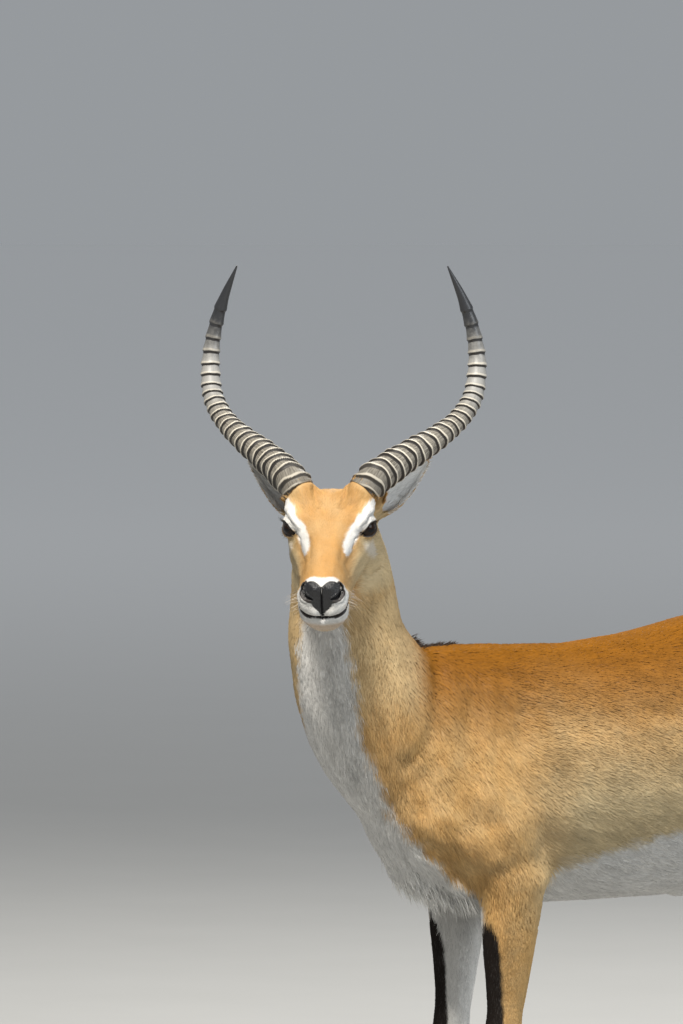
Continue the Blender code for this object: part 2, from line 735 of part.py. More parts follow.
def tail_flesh():
    """The tail with its tuft, grown from the croup."""
    rings = (
        Limb(0, 0.770, 0.930, 0.028, 0.026),
        Limb(0, 0.825, 0.912, 0.022, 0.020),
        Limb(0, 0.862, 0.872, 0.0165, 0.0150),
        Limb(0, 0.880, 0.805, 0.0140, 0.0130),
        Limb(0, 0.884, 0.720, 0.0135, 0.0125),
        Limb(0, 0.882, 0.640, 0.0140, 0.0130),
        Limb(0, 0.878, 0.585, 0.0175, 0.0165),
        Limb(0, 0.874, 0.530, 0.0200, 0.0190),
        Limb(0, 0.872, 0.480, 0.0140, 0.0130),
        Limb(0, 0.871, 0.440, 0.0030, 0.0030),
    )
    return limb("tail", rings, 14, 44)


# ---------------------------------------------------------------- parting the flesh


@dataclass
class Cut:
    """A thin oval blade: its middle, the way its axis points, and its reach sideways and along the body."""

    middle: tuple
    axis: tuple
    side: float
    fore: float


def knife(cut):
    """The blade of one cut."""
    bm = bmesh.new()
    bmesh.ops.create_cone(bm, cap_ends=True, segments=24, radius1=1, radius2=1, depth=CUT)
    bmesh.ops.scale(bm, vec=(cut.side, cut.fore, 1), verts=bm.verts)
    axis = Vector(cut.axis).normalized()
    across = LEFT if cut.middle[2] > 1.0 else Vector((1, 0, 0))
    across = (across - axis * across.dot(axis)).normalized()
    turn = Matrix((across, axis.cross(across), axis)).transposed().to_4x4()
    bmesh.ops.transform(bm, matrix=turn, verts=bm.verts)
    bmesh.ops.translate(bm, vec=cut.middle, verts=bm.verts)
    return object_from("knife", bm)


def leg_cuts():
    """The cuts of each leg: below the trunk, below the knee or hock, and above the fetlock."""
    cuts = []
    for side in (1, -1):
        step = HIND_STEP * side
        lean = step * 0.8
        fore, hind = side * FORE_STANCE, side * HIND_STANCE
        cuts += [
            Cut((side * 0.092, 0.006, 0.528), (side * -0.20, 0, 1), 0.075, 0.080),
            Cut((fore, -0.004, KNEE_HEIGHT - 0.030), (0, 0, 1), 0.048, 0.050),
            Cut((fore, -0.001, FETLOCK_HEIGHT + 0.034), (0, 0, 1), 0.045, 0.048),
            Cut((side * 0.102, 0.650 + step * 0.3, 0.572), (side * -0.20, -0.25, 1), 0.062, 0.125),
            Cut((side * 0.081, 0.778 + lean, HOCK_HEIGHT - 0.062), (0, -0.10, 1), 0.050, 0.055),
            Cut((hind, HIND_FOOT_Y + step + 0.024, FETLOCK_HEIGHT + 0.036), (0, 0, 1), 0.045, 0.050),
        ]
    return cuts


def part_flesh(flesh):
    """Cuts the melted flesh into its named pieces and returns them."""
    cuts = [
        Cut((0.014, -0.272, 1.087), HEADING * 0.35 + Vector((0, 0, 1)), 0.105, 0.105),
        Cut((0, -0.215, WITHERS_HEIGHT - 0.103), (0, -0.77, 0.64), 0.135, 0.195),
        Cut((0, 0.470, 0.800), (0, 1, 0), 0.250, 0.300),
        Cut((0, 0.876, 0.822), (0, 0.25, -0.97), 0.030, 0.032),
        Cut((0, 0.880, 0.612), (0, 0, 1), 0.040, 0.040),
        *leg_cuts(),
    ]
    pieces = [flesh]
    for cut in cuts:
        blade = knife(cut)
        met = [piece for piece in pieces if meets(piece, blade)]
        for whole in met:
            pieces.remove(whole)
            pieces += islands(boolean(whole, knife(cut)))
        bpy.data.objects.remove(blade)
    return pieces


def meets(one, two):
    """Whether the surfaces of two objects cross."""
    graph = bpy.context.evaluated_depsgraph_get()
    return bool(BVHTree.FromObject(one, graph).overlap(BVHTree.FromObject(two, graph)))


def islands(item):
    """Splits a mesh into its loose parts."""
    bm = bmesh.new()
    bm.from_mesh(item.data)
    left = set(bm.verts)
    made = []
    while left:
        todo = [next(iter(left))]
        found = set(todo)
        while todo:
            for edge in todo.pop().link_edges:
                for vert in edge.verts:
                    if vert not in found:
                        found.add(vert)
                        todo.append(vert)
        left -= found
        order = {v: i for i, v in enumerate(found)}
        mesh = bpy.data.meshes.new("piece")
        faces = [[order[v] for v in f.verts] for f in bm.faces if f.verts[0] in found]
        mesh.from_pydata([v.co for v in order], [], faces)
        made.append(link("piece", mesh))
    bm.free()
    bpy.data.objects.remove(item)
    return made


def seeds():
    """A point inside each piece of flesh, by the piece's name."""
    found = {
        "head": on_head(0.05, 0, -0.03),
        "neck": Vector((0.004, -0.235, WITHERS_HEIGHT + 0.04)),
        "trunk": Vector((0, 0.20, 0.75)),
        "hindquarters": Vector((0, 0.62, 0.86)),
        "tail": Vector((0, 0.884, 0.720)),
        "tail_tuft": Vector((0, 0.874, 0.530)),
    }
    for side, word in ((1, "left"), (-1, "right")):
        step = HIND_STEP * side
        found[f"foreleg_{word}"] = Vector((side * FORE_STANCE, 0.0, 0.43))
        found[f"foreleg_{word}_cannon"] = Vector((side * FORE_STANCE, 0.0, 0.22))
        found[f"foreleg_{word}_pastern"] = Vector((side * FORE_STANCE, -0.004, 0.100))
        found[f"hindleg_{word}"] = Vector((side * 0.088, 0.700 + step * 0.6, 0.510))
        found[f"hindleg_{word}_cannon"] = Vector((side * HIND_STANCE, 0.770 + step * 0.8, 0.25))
        found[f"hindleg_{word}_pastern"] = Vector((side * HIND_STANCE, HIND_FOOT_Y + step + 0.020, 0.100))
    return found


def volume_of(piece):
    """The volume that a closed mesh holds."""
    bm = bmesh.new()
    bm.from_mesh(piece.data)
    found = bm.calc_volume()
    bm.free()
    return found


def name_pieces(pieces, finish):
    """Names each piece after the seed nearest to its surface's middle, largest pieces first."""
    wanted = seeds()
    for piece in sorted(pieces, key=volume_of, reverse=True):
        points = [v.co for v in piece.data.vertices]
        low = Vector([min(p[i] for p in points) for i in range(3)])
        high = Vector([max(p[i] for p in points) for i in range(3)])
        middle = (low + high) / 2
        if not wanted or volume_of(piece) < CRUMB:
            bpy.data.objects.remove(piece)
            continue
        name = min(wanted, key=lambda n: (wanted[n] - middle).length)
        del wanted[name]
        piece.name = piece.data.name = name
        piece.data.materials.append(finish)


# ---------------------------------------------------------------- assembly


def unfolded(item):
    """Relaxes the few corners where thinning has folded a mesh back on itself."""
    bm = bmesh.new()
    bm.from_mesh(item.data)
    for _ in range(12):
        bm.normal_update()
        folded = set()
        for edge in bm.edges:
            one, two = edge.link_faces
            if one.normal.dot(two.normal) < -0.35:
                folded.update(v for face in (one, two) for v in face.verts)
        if not folded:
            break
        moved = {}
        for vert in folded:
            near = [edge.other_vert(vert).co for edge in vert.link_edges]
            moved[vert] = sum(near, Vector()) / len(near)
        for vert, place in moved.items():
            vert.co = vert.co.lerp(place, 0.5)
    bm.to_mesh(item.data)
    bm.free()
    return item


def melted_flesh():
    """All the flesh as one smooth closed mesh with a limited number of triangles."""
    forms = [*trunk(), *fore_masses(), *hind_masses(), *neck(), *head_masses(), tail_flesh()]
    for side in (1, -1):
        step = HIND_STEP * side
        forms += foreleg(side) + hindleg(side, step)
        forms += dewclaws(side, FORE_STANCE, 0.002)
        forms += dewclaws(side, HIND_STANCE, HIND_FOOT_Y + step + 0.026)
    flesh = joined("flesh", forms)
    melt = flesh.modifiers.new("melt", "REMESH")
    melt.mode = "VOXEL"
    melt.voxel_size = MELT_VOXEL
    soften = flesh.modifiers.new("soften", "SMOOTH")
    soften.factor = 0.5
    soften.iterations = 10
    baked(flesh)
    coarse = flesh.vertex_groups.new(name="coarse")
    face = on_head(0.03, 0, -0.02)
    for vert in flesh.data.vertices:
        fine = (vert.co - face).length < FINE_REACH
        coarse.add([vert.index], 0.97 if fine else 1.0, "REPLACE")
    thin = flesh.modifiers.new("thin", "DECIMATE")
    thin.vertex_group = coarse.name
    thin.ratio = FLESH_TRIANGLES / (2 * len(flesh.data.polygons))
    baked(flesh)
    return unfolded(flesh)


def ball(name, centre, radius, finish=None):
    """A sphere."""
    bm = bmesh.new()
    bmesh.ops.create_uvsphere(bm, u_segments=12, v_segments=8, radius=radius)
    bmesh.ops.translate(bm, vec=centre, verts=bm.verts)
    return object_from(name, bm, finish)


def root_cutter(middle, way, radius, depth):
    """A cylinder that starts at middle and runs along way."""
    bm = bmesh.new()
    bmesh.ops.create_cone(bm, cap_ends=True, segments=24, radius1=radius, radius2=radius, depth=depth)
    bmesh.ops.translate(bm, vec=(0, 0, depth / 2), verts=bm.verts)
    turn = Vector((0, 0, 1)).rotation_difference(way).to_matrix().to_4x4()
    bmesh.ops.transform(bm, matrix=turn, verts=bm.verts)
    bmesh.ops.translate(bm, vec=middle, verts=bm.verts)
    return object_from("root_cutter", bm)


def recentre():
    """Moves everything so that the origin is at the bottom centre of the model."""
    points = [v.co for item in bpy.data.objects for v in item.data.vertices]
    low = [min(p[i] for p in points) for i in range(3)]
    high = [max(p[i] for p in points) for i in range(3)]
    shift = Vector((-(low[0] + high[0]) / 2, -(low[1] + high[1]) / 2, -low[2]))
    for item in bpy.data.objects:
        item.data.transform(Matrix.Translation(shift))


def main():
    clear_scene()
    coat = material("coat", (0.48, 0.24, 0.09), 0.75)
    horn_finish = material("horn", (0.16, 0.13, 0.10), 0.45)
    hoof = material("hoof", (0.02, 0.018, 0.016), 0.40)
    eye = material("eye", (0.012, 0.007, 0.004), 0.08)

    flesh = melted_flesh()
    for side, word in ((1, "left"), (-1, "right")):
        centre = on_head(EYE_PLACE.x, side * EYE_PLACE.y, EYE_PLACE.z)
        boolean(flesh, ball("socket", centre, EYE_RADIUS + GAP * 2))
        ball(f"eye_{word}", centre, EYE_RADIUS, eye)
        place, way = horn_root(side)
        boolean(flesh, root_cutter(place, way, 0.060, 0.080))
        base, along, _, _ = ear_axes(side)
        boolean(flesh, root_cutter(base + along * EAR_STEM, along, 0.040, 0.060))
        horn(side, horn_finish)
        ear(side, coat)
    for side, word in ((1, "left"), (-1, "right")):
        feet = (
            ("foreleg", side * FORE_STANCE, -0.034),
            ("hindleg", side * HIND_STANCE, HIND_FOOT_Y + side * HIND_STEP - 0.013),
        )
        for leg, x, y in feet:
            boolean(flesh, coronet_cutter(x, y))
            for way in (-1, 1):
                place = "outer" if way == side else "inner"
                claw(f"{leg}_{word}_hoof_{place}", x + way * CLAW_APART, y, way * CLAW_SPLAY, hoof)
    name_pieces(part_flesh(flesh), coat)
    recentre()


main()
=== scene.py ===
"""A red lechwe ram, standing square with its head turned to its left.

One hide covers the whole animal, and short tufts of coat lie over it. Horns, eyes, lashes and claws
are pieces of their own. Everything is in metres in the frame of the CAD model: the animal stands on
z = 0, faces -Y, and its left side is +X.
"""

import logging
import math
from dataclasses import dataclass, field
from enum import Enum
from typing import Callable

import bmesh
import bpy
import numpy as np
from mathutils import Matrix, Vector
from mathutils.bvhtree import BVHTree


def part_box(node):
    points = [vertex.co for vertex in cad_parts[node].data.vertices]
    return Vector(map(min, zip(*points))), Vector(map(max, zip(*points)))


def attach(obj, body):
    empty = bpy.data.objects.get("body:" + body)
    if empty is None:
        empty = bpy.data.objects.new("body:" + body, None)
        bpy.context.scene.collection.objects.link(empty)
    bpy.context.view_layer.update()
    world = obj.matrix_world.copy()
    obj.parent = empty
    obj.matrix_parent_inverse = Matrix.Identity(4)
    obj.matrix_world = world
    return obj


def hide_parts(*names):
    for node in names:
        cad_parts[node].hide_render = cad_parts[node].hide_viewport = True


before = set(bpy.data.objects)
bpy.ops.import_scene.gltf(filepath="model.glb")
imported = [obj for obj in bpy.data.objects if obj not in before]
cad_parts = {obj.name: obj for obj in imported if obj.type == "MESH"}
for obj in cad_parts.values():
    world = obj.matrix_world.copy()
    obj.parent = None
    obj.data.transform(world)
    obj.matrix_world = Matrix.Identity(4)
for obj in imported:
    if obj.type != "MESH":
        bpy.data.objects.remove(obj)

Array = np.ndarray
Point = tuple[float, float, float]
Colour = tuple[float, float, float]
Mesh = bpy.types.Mesh
Object = bpy.types.Object
Material = bpy.types.Material
Socket = bpy.types.NodeSocket

log = logging.getLogger("lechwe")

BODY = "root"
SIDES = {"left": 1, "right": -1}
HEAD_DROP = math.radians(27)  # nose below the horizon
EYE_PLACE = (0.004, 0.056, -0.001)  # in the head's frame, left eye
LEGS = tuple(f"{leg}_{side}" for leg in ("foreleg", "hindleg") for side in SIDES)
HOOVES = tuple(f"{leg}_hoof_{claw}" for leg in LEGS for claw in ("inner", "outer"))
LIMBS = tuple(leg + part for leg in LEGS for part in ("", "_cannon", "_pastern"))
FLESH = ("head", "neck", "trunk", "hindquarters", "tail", "tail_tuft", *LIMBS)


# ---- numbers and places


def eased(low: float, high: float, value: Array) -> Array:
    """0 below low and 1 above high, with an easy curve between; low may be the greater."""
    t = np.clip((value - low) / (high - low), 0.0, 1.0)
    return t * t * (3.0 - 2.0 * t)


def unit(vectors: Array) -> Array:
    """Each row at length 1."""
    return vectors / np.maximum(np.linalg.norm(vectors, axis=-1, keepdims=True), 1e-12)


def middle(node: str) -> Vector:
    """The centre of a CAD node's box."""
    low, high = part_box(node)
    return (low + high) / 2


def path_distance(points: Array, path: Array, reach: float = math.inf) -> tuple[Array, Array]:
    """How far points lie from a path.

    Args:
        points: The points, one a row.
        path: The path's corners, one a row.
        reach: Points farther than this from the path's box count as endlessly far.

    Returns:
        Each point's distance, and the share of the path's length at its nearest place.
    """
    best = np.full(len(points), np.inf)
    share = np.zeros(len(points))
    if reach < math.inf:
        near = np.flatnonzero(np.all((points > path.min(0) - reach) & (points < path.max(0) + reach), axis=1))
        best[near], share[near] = path_distance(points[near], path)
        return best, share
    spans = np.linalg.norm(np.diff(path, axis=0), axis=1)
    total = max(float(spans.sum()), 1e-9)
    done = 0.0
    for start, end, span in zip(path, path[1:], spans):
        step = end - start
        t = np.clip(((points - start) @ step) / max(float(step @ step), 1e-12), 0.0, 1.0)
        gap = np.linalg.norm(points - (start + t[:, None] * step), axis=1)
        nearer = gap < best
        best[nearer] = gap[nearer]
        share[nearer] = (done + t[nearer] * span) / total
        done += span
    return best, share


def outline_distance(x: Array, y: Array, outline: Array) -> Array:
    """How far points of a plane lie outside a closed outline; inside, the number is below zero."""
    points = np.stack([x, y], 1)
    closed = np.vstack([outline, outline[:1]])
    gap, _ = path_distance(points, closed)
    inside = np.zeros(len(points), bool)
    for (ax, ay), (bx, by) in zip(closed, closed[1:]):
        if ay != by:
            crosses = (ay > y) != (by > y)
            inside ^= crosses & (x < (bx - ax) * (y - ay) / (by - ay) + ax)
    return np.where(inside, -gap, gap)


def spline(knots: list[float], rows: list[tuple[float, ...]], at: float) -> list[float]:
    """Catmull-Rom between rows of numbers that stand at rising knots."""
    last = len(knots) - 1
    i = max(0, min(last - 1, sum(1 for k in knots if k <= at) - 1))
    span = knots[i + 1] - knots[i]
    t = (at - knots[i]) / span

    def slope(j: int) -> list[float]:
        """The rows' rate of change at one knot."""
        low, high = max(j - 1, 0), min(j + 1, last)
        return [(b - a) / (knots[high] - knots[low]) for a, b in zip(rows[low], rows[high])]

    h0, h1 = (1 + 2 * t) * (1 - t) ** 2, t * (1 - t) ** 2
    h2, h3 = t * t * (3 - 2 * t), t * t * (t - 1)
    return [
        h0 * a + h1 * span * m + h2 * b + h3 * span * n
        for a, b, m, n in zip(rows[i], rows[i + 1], slope(i), slope(i + 1))
    ]


class Surface:
    """A skin that paths are laid on."""

    def __init__(self, points: Array, corners: Array) -> None:
        self.tree = BVHTree.FromPolygons(points.tolist(), corners.tolist())

    def laid(self, path: Array, step: float = 0.0025) -> Array:
        """A path in short steps, each moved to the skin's nearest point."""
        places = [path[0]]
        for start, end in zip(path, path[1:]):
            count = max(1, math.ceil(float(np.linalg.norm(end - start)) / step))
            places += [start + (end - start) * (k + 1) / count for k in range(count)]
        return np.array([self.tree.find_nearest(Vector(place))[0] for place in places])

    def sunk(self, path: Array, depth: float) -> Array:
        """A path laid on the skin, and then moved this deep under it."""
        found = [self.tree.find_nearest(Vector(place)) for place in self.laid(path)]
        return np.array([place - normal * depth for place, normal, _, _ in found])


@dataclass(frozen=True)
class HeadFrame:
    """The head's own directions: forward to the nose, to the animal's left, and up from the brow."""

    centre: Vector
    heading: Vector
    axes: Matrix  # columns: forward, left, up

    @classmethod
    def between_eyes(cls) -> "HeadFrame":
        """Finds the head's frame from the two eyes of the CAD model."""
        left_eye, right_eye = middle("eye_left"), middle("eye_right")
        left = (left_eye - right_eye).normalized()
        heading = Vector((0, 0, 1)).cross(left) * -1
        forward = heading * math.cos(HEAD_DROP) - Vector((0, 0, math.sin(HEAD_DROP)))
        axes = Matrix((forward, left, forward.cross(left))).transposed()
        centre = (left_eye + right_eye) / 2 - axes @ Vector((EYE_PLACE[0], 0, EYE_PLACE[2]))
        return cls(centre, heading, axes)

    @property
    def left(self) -> Vector:
        """The head's left."""
        return self.axes.col[1].copy()

    def place(self, forward: float, left: float, up: float) -> Vector:
        """A point of the head, in the model's frame."""
        return self.centre + self.axes @ Vector((forward, left, up))

    def local(self, points: Array) -> Array:
        """Points of the model's frame, one a row, in the head's frame."""
        return (points - np.array(self.centre)) @ np.array(self.axes)

    def path(self, places: tuple[Point, ...], side: int = 1) -> Array:
        """Places of the head's left half as a path in the model's frame, on either side."""
        return np.array([self.place(f, side * l, u) for f, l, u in places])


HEAD = HeadFrame.between_eyes()


# ---- shader nodes


class Number:
    """A number socket that takes part in Python's arithmetic."""

    def __init__(self, tree: "Tree", socket: Socket) -> None:
        self.tree, self.socket = tree, socket

    def _math(self, operation: str, *terms: "Number | float") -> "Number":
        """Adds one Math node."""
        node = self.tree.node(
            "ShaderNodeMath", {"operation": operation}, {i: t for i, t in enumerate(terms)}
        )
        return Number(self.tree, node.outputs[0])

    def __add__(self, other: "Number | float") -> "Number":
        """Sum."""
        return self._math("ADD", self, other)

    def __mul__(self, other: "Number | float") -> "Number":
        """Product."""
        return self._math("MULTIPLY", self, other)

    def __sub__(self, other: "Number | float") -> "Number":
        """Difference."""
        return self._math("SUBTRACT", self, other)

    def __rsub__(self, other: float) -> "Number":
        """Difference, the other way round."""
        return self._math("SUBTRACT", other, self)

    def __pow__(self, other: float) -> "Number":
        """Power."""
        return self._math("POWER", self, other)

    __radd__ = __add__
    __rmul__ = __mul__

    def eased(self, low: float, high: float) -> "Number":
        """0 below low and 1 above high, with an easy curve between."""
        values = {"Value": self, "From Min": low, "From Max": high}
        node = self.tree.node("ShaderNodeMapRange", {"interpolation_type": "SMOOTHSTEP"}, values)
        return Number(self.tree, node.outputs["Result"])


class Tree:
    """The nodes of one material."""

    def __init__(self, name: str) -> None:
        self.material = bpy.data.materials.new(name)
        self.material.use_nodes = True
        self.material.node_tree.nodes.clear()

    def node(self, kind: str, settings: dict | None = None, values: dict | None = None) -> bpy.types.Node:
        """Adds a node.

        Args:
            kind: The node's type.
            settings: Its own properties, which are set first.
            values: What goes into its sockets, by name or number: a value, a socket or a Number.

        Returns:
            The node.
        """
        node = self.material.node_tree.nodes.new(kind)
        for name, setting in (settings or {}).items():
            setattr(node, name, setting)
        for name, value in (values or {}).items():
            socket = node.inputs[name]
            value = value.socket if isinstance(value, Number) else value
            if isinstance(value, Socket):
                self.material.node_tree.links.new(value, socket)
            elif isinstance(value, (tuple, Vector)) and len(value) == 3 and socket.type == "RGBA":
                socket.default_value = (*value, 1.0)
            else:
                socket.default_value = value
        return node

    def attribute(self, name: str) -> Number:
        """A number that the mesh carries."""
        return Number(self, self.node("ShaderNodeAttribute", {"attribute_name": name}).outputs["Fac"])

    def place(self) -> Socket:
        """The Object coordinates, in metres."""
        return self.node("ShaderNodeTexCoord").outputs["Object"]

    def stretched(self, turn: Point, scale: Point) -> Socket:
        """Object coordinates, turned and scaled."""
        values = {"Vector": self.place(), "Rotation": turn, "Scale": scale}
        return self.node("ShaderNodeMapping", {"vector_type": "TEXTURE"}, values).outputs[0]

    def noise(self, where: Socket, scale: float, detail: float = 3.0, rough: float = 0.55) -> Number:
        """Smooth noise from 0 to 1."""
        values = {"Vector": where, "Scale": scale, "Detail": detail, "Roughness": rough}
        return Number(self, self.node("ShaderNodeTexNoise", None, values).outputs[0])

    def cells(self, where: Socket, scale: float) -> Number:
        """The distance to the nearest of many scattered points."""
        return Number(
            self,
            self.node("ShaderNodeTexVoronoi", None, {"Vector": where, "Scale": scale}).outputs["Distance"]
        )

    def mix(self, share: Number | float, one: object, other: object, blend: str = "MIX") -> Socket:
        """A colour between two."""
        settings = {"data_type": "RGBA", "blend_type": blend}
        return self.node("ShaderNodeMix", settings, {0: share, 6: one, 7: other}).outputs[2]

    def shaded(self, colour: Socket, factor: Number) -> Socket:
        """A colour made lighter or darker by a factor about 1."""
        settings = {"operation": "SCALE"}
        return self.node("ShaderNodeVectorMath", settings, {"Vector": colour, "Scale": factor}).outputs[0]

    def bump(self, height: Number, depth: float, strength: float = 1.0) -> Socket:
        """A normal from a height between 0 and 1 that stands for a depth in metres."""
        return self.node(
            "ShaderNodeBump", None, {"Height": height, "Distance": depth, "Strength": strength}
        ).outputs[0]

    def finish(self, values: dict) -> Material:
        """Ends the tree in a Principled shader with these socket values."""
        shader = self.node("ShaderNodeBsdfPrincipled", None, values)
        self.node("ShaderNodeOutputMaterial", None, {"Surface": shader.outputs[0]})
        return self.material


# ---- markings


@dataclass
class Band:
    """A marking on both sides of the head along a path, with a half width at each corner."""

    path: tuple[Point, ...]
    widths: tuple[float, ...]
    edge: float = 0.0016
    paths: list[Array] = field(default_factory=list)

    def lay_on(self, skin: Surface) -> None:
        """Lays the band's two paths on the skin."""
        self.paths = [skin.laid(HEAD.path(self.path, side)) for side in SIDES.values()]

    def mask(self, points: Array) -> Array:
        """1 on the band and 0 off it."""
        corners = np.array(self.path)
        reach = np.concatenate([[0.0], np.cumsum(np.linalg.norm(np.diff(corners, axis=0), axis=1))])
        found = np.zeros(len(points))
        for path in self.paths:
            gap, share = path_distance(points, path, 0.03)
            width = np.interp(share * reach[-1], reach, self.widths)
            found = np.maximum(found, eased(self.edge, -self.edge, gap - width))
        return found


class Markings:
    """Where the coat of a red lechwe is white, black, deep red, pale or bare. Hide and coat share it."""

    stripe = Band(
        (
            (-0.022, 0.071, 0.031), (-0.006, 0.0665, 0.029), (0.019, 0.0545, 0.0175), (0.035, 0.045, 0.01),
            (0.05, 0.0375, 0.004), (0.066, 0.033, -0.003), (0.0745, 0.0315, -0.0065)
        ),
        (0.005, 0.0095, 0.011, 0.0102, 0.0104, 0.0104, 0.007), 0.0024
    )
    lid = Band(
        ((0.022, 0.058, 0.018), (0.006, 0.069, 0.02), (-0.01, 0.075, 0.015), (-0.02, 0.073, 0.004)),
        (0.006, 0.0085, 0.0085, 0.005)
    )
    under_eye = Band(
        ((0.032, 0.059, -0.022), (0.008, 0.0656, -0.038), (-0.014, 0.068, -0.056)), (0.007, 0.0125, 0.01),
        0.006
    )
    bag = Band(
        ((0.034, 0.05, -0.012), (0.016, 0.06, -0.026), (0.004, 0.063, -0.038)), (0.006, 0.009, 0.007), 0.006
    )
    tear = Band(
        ((0.024, 0.053, 0.001), (0.029, 0.0515, 0.001), (0.036, 0.048, 0.0005), (0.043, 0.044, 0.0)),
        (0.0024, 0.002, 0.0013, 0.0006), 0.0009
    )
    pad: tuple[tuple[float, float], ...] = (  # left and up, round the left half of the nose's bare pad
        (0.0, 0.03), (0.035, 0.03), (0.0345, -0.017), (0.0315, -0.023), (0.028, -0.0285),
        (0.0225, -0.0315), (0.0172, -0.033), (0.0165, -0.039), (0.0152, -0.044), (0.0118, -0.0488),
        (0.0075, -0.0535), (0.0042, -0.0575), (0.003, -0.064), (0.0022, -0.07),
    )
    # left, and how far back the pad reaches over the nose's top
    pad_back: tuple[tuple[float, float], ...] = (
        (0.0, 0.1738), (0.006, 0.169), (0.0125, 0.1635), (0.0175, 0.1615), (0.0245, 0.159),
        (0.031, 0.1545), (0.04, 0.153),
    )
    throat: tuple[tuple[float, float], ...] = (  # height, and how far back the white reaches
        (0.52, -0.215), (0.563, -0.262), (0.602, -0.322), (0.654, -0.38), (0.705, -0.422),
        (0.756, -0.45), (0.832, -0.489), (0.868, -0.503),
    )
    belly: tuple[tuple[float, float], ...] = (  # distance back, and the height of the white's upper edge
        (-0.17, 0.53), (-0.145, 0.588), (-0.119, 0.624), (-0.078, 0.64), (-0.008, 0.655), (0.072, 0.672),
        (0.2, 0.68), (0.3, 0.66), (0.4, 0.62),
    )
    gullet: tuple[Point, ...] = (
        (0.076, -0.57, 1.045), (0.064, -0.56, 0.998), (0.0546, -0.554, 0.932), (0.043, -0.543, 0.868),
        (0.033, -0.534, 0.831)
    )
    gullet_widths: tuple[float, ...] = (0.026, 0.043, 0.05, 0.053, 0.058)

    def __init__(self) -> None:
        self.bands = (self.stripe, self.lid, self.under_eye, self.bag, self.tear)

    def lay_on(self, skin: Surface) -> None:
        """Lays the head's bands on the skin."""
        for band in self.bands:
            band.lay_on(skin)

    def nose_gap(self, points: Array) -> Array:
        """How far points lie outside the bare pad of the nose."""
        f, l, u = HEAD.local(points).T
        gap = np.ones(len(points))
        near = np.flatnonzero((f > 0.14) & (np.abs(l) < 0.06))
        f, l, u = f[near], np.abs(l[near]), u[near] - 0.577 * (f[near] - 0.179)
        half = np.array(self.pad)
        round_pad = outline_distance(l, u, np.vstack([half, [[-0.01, -0.07], [-0.01, 0.03]]]))
        gap[near] = np.maximum(round_pad, np.interp(l, *np.array(self.pad_back).T) - f)
        return gap

    def masks(self, points: Array, normals: Array) -> dict[str, Array]:
        """The markings' strengths.

        Args:
            points: Places on the hide, one a row.
            normals: The hide's directions there.

        Returns:
            For each marking's name, a number from 0 to 1 at each point.
        """
        white, pale_face = self.head_white(points)
        body_white = self.body_white(points, normals)
        _, y, z = points.T
        f, l, u = HEAD.local(points).T
        on_head = head_share(points)
        body = 1.0 - on_head
        rust = body * eased(0.77, 0.965, z + 0.012 * wavy(points, 5.0)) * eased(-0.45, -0.37, y)
        rump = eased(0.78, 0.93, z + 0.02 * wavy(points, 9.0)) * eased(0.2, 0.5, y)
        low = eased(0.88, 0.7, z + 0.015 * wavy(points, 6.0)) * eased(-0.26, -0.1, y) * eased(0.5, 0.6, z)
        cheek = on_head * eased(0.03, 0.052, np.abs(l)) * eased(0.0, -0.03, u) * eased(-0.115, -0.055, f)
        neck = (
            body * eased(0.84, 0.93, z)
            * eased(0.03, -0.03, y - np.interp(z, (0.9, 1.02, 1.12), (-0.39, -0.37, -0.3)))
        )
        pale = np.max([low, cheek * 0.85, neck * 0.5, pale_face], 0)
        nose = on_head * eased(0.0007, -0.0007, self.nose_gap(points))
        forehead = on_head * eased(0.055, 0.035, np.abs(l)) * eased(-0.125, -0.06, f)
        return {
            "rust": np.maximum(rust, rump * 0.8),
            "pale": pale,
            "white": np.max([white, body_white * body], 0),
            "black": self.black(points, normals),
            "nose": nose,
            "face": forehead,
        }

    def head_white(self, points: Array) -> tuple[Array, Array]:
        """The white of muzzle, jaw and eye stripes, and the paler patch under each eye; under the chin the
        white is weakened as painted shade.
        """
        f, l, u = HEAD.local(points).T
        on_head = head_share(points)
        wander = wavy(points, 90.0) * 0.0009
        edge = (
            0.15 + 0.0085 * eased(0.022, 0.004, np.abs(l)) * eased(-0.03, -0.01, u)
            + 0.0035 * eased(-0.03, -0.045, u)
        )
        # Below the mouth the muzzle's white is weakened: painted shade under the chin.
        muzzle = on_head * eased(-0.0016, 0.0016, f - edge + wander) * (1 - 0.45 * eased(-0.074, -0.082, u))
        jaw = (
            on_head * eased(0.036, 0.026, np.abs(l) + wander * 2) * eased(-0.078, -0.09, u)
            * eased(-0.06, -0.03, f)
        )
        white = np.max(
            [
                jaw * 0.7, muzzle, self.stripe.mask(points), self.lid.mask(points),
                self.under_eye.mask(points) * 0.5
            ],
            0
        )
        return white, self.bag.mask(points) * 0.9

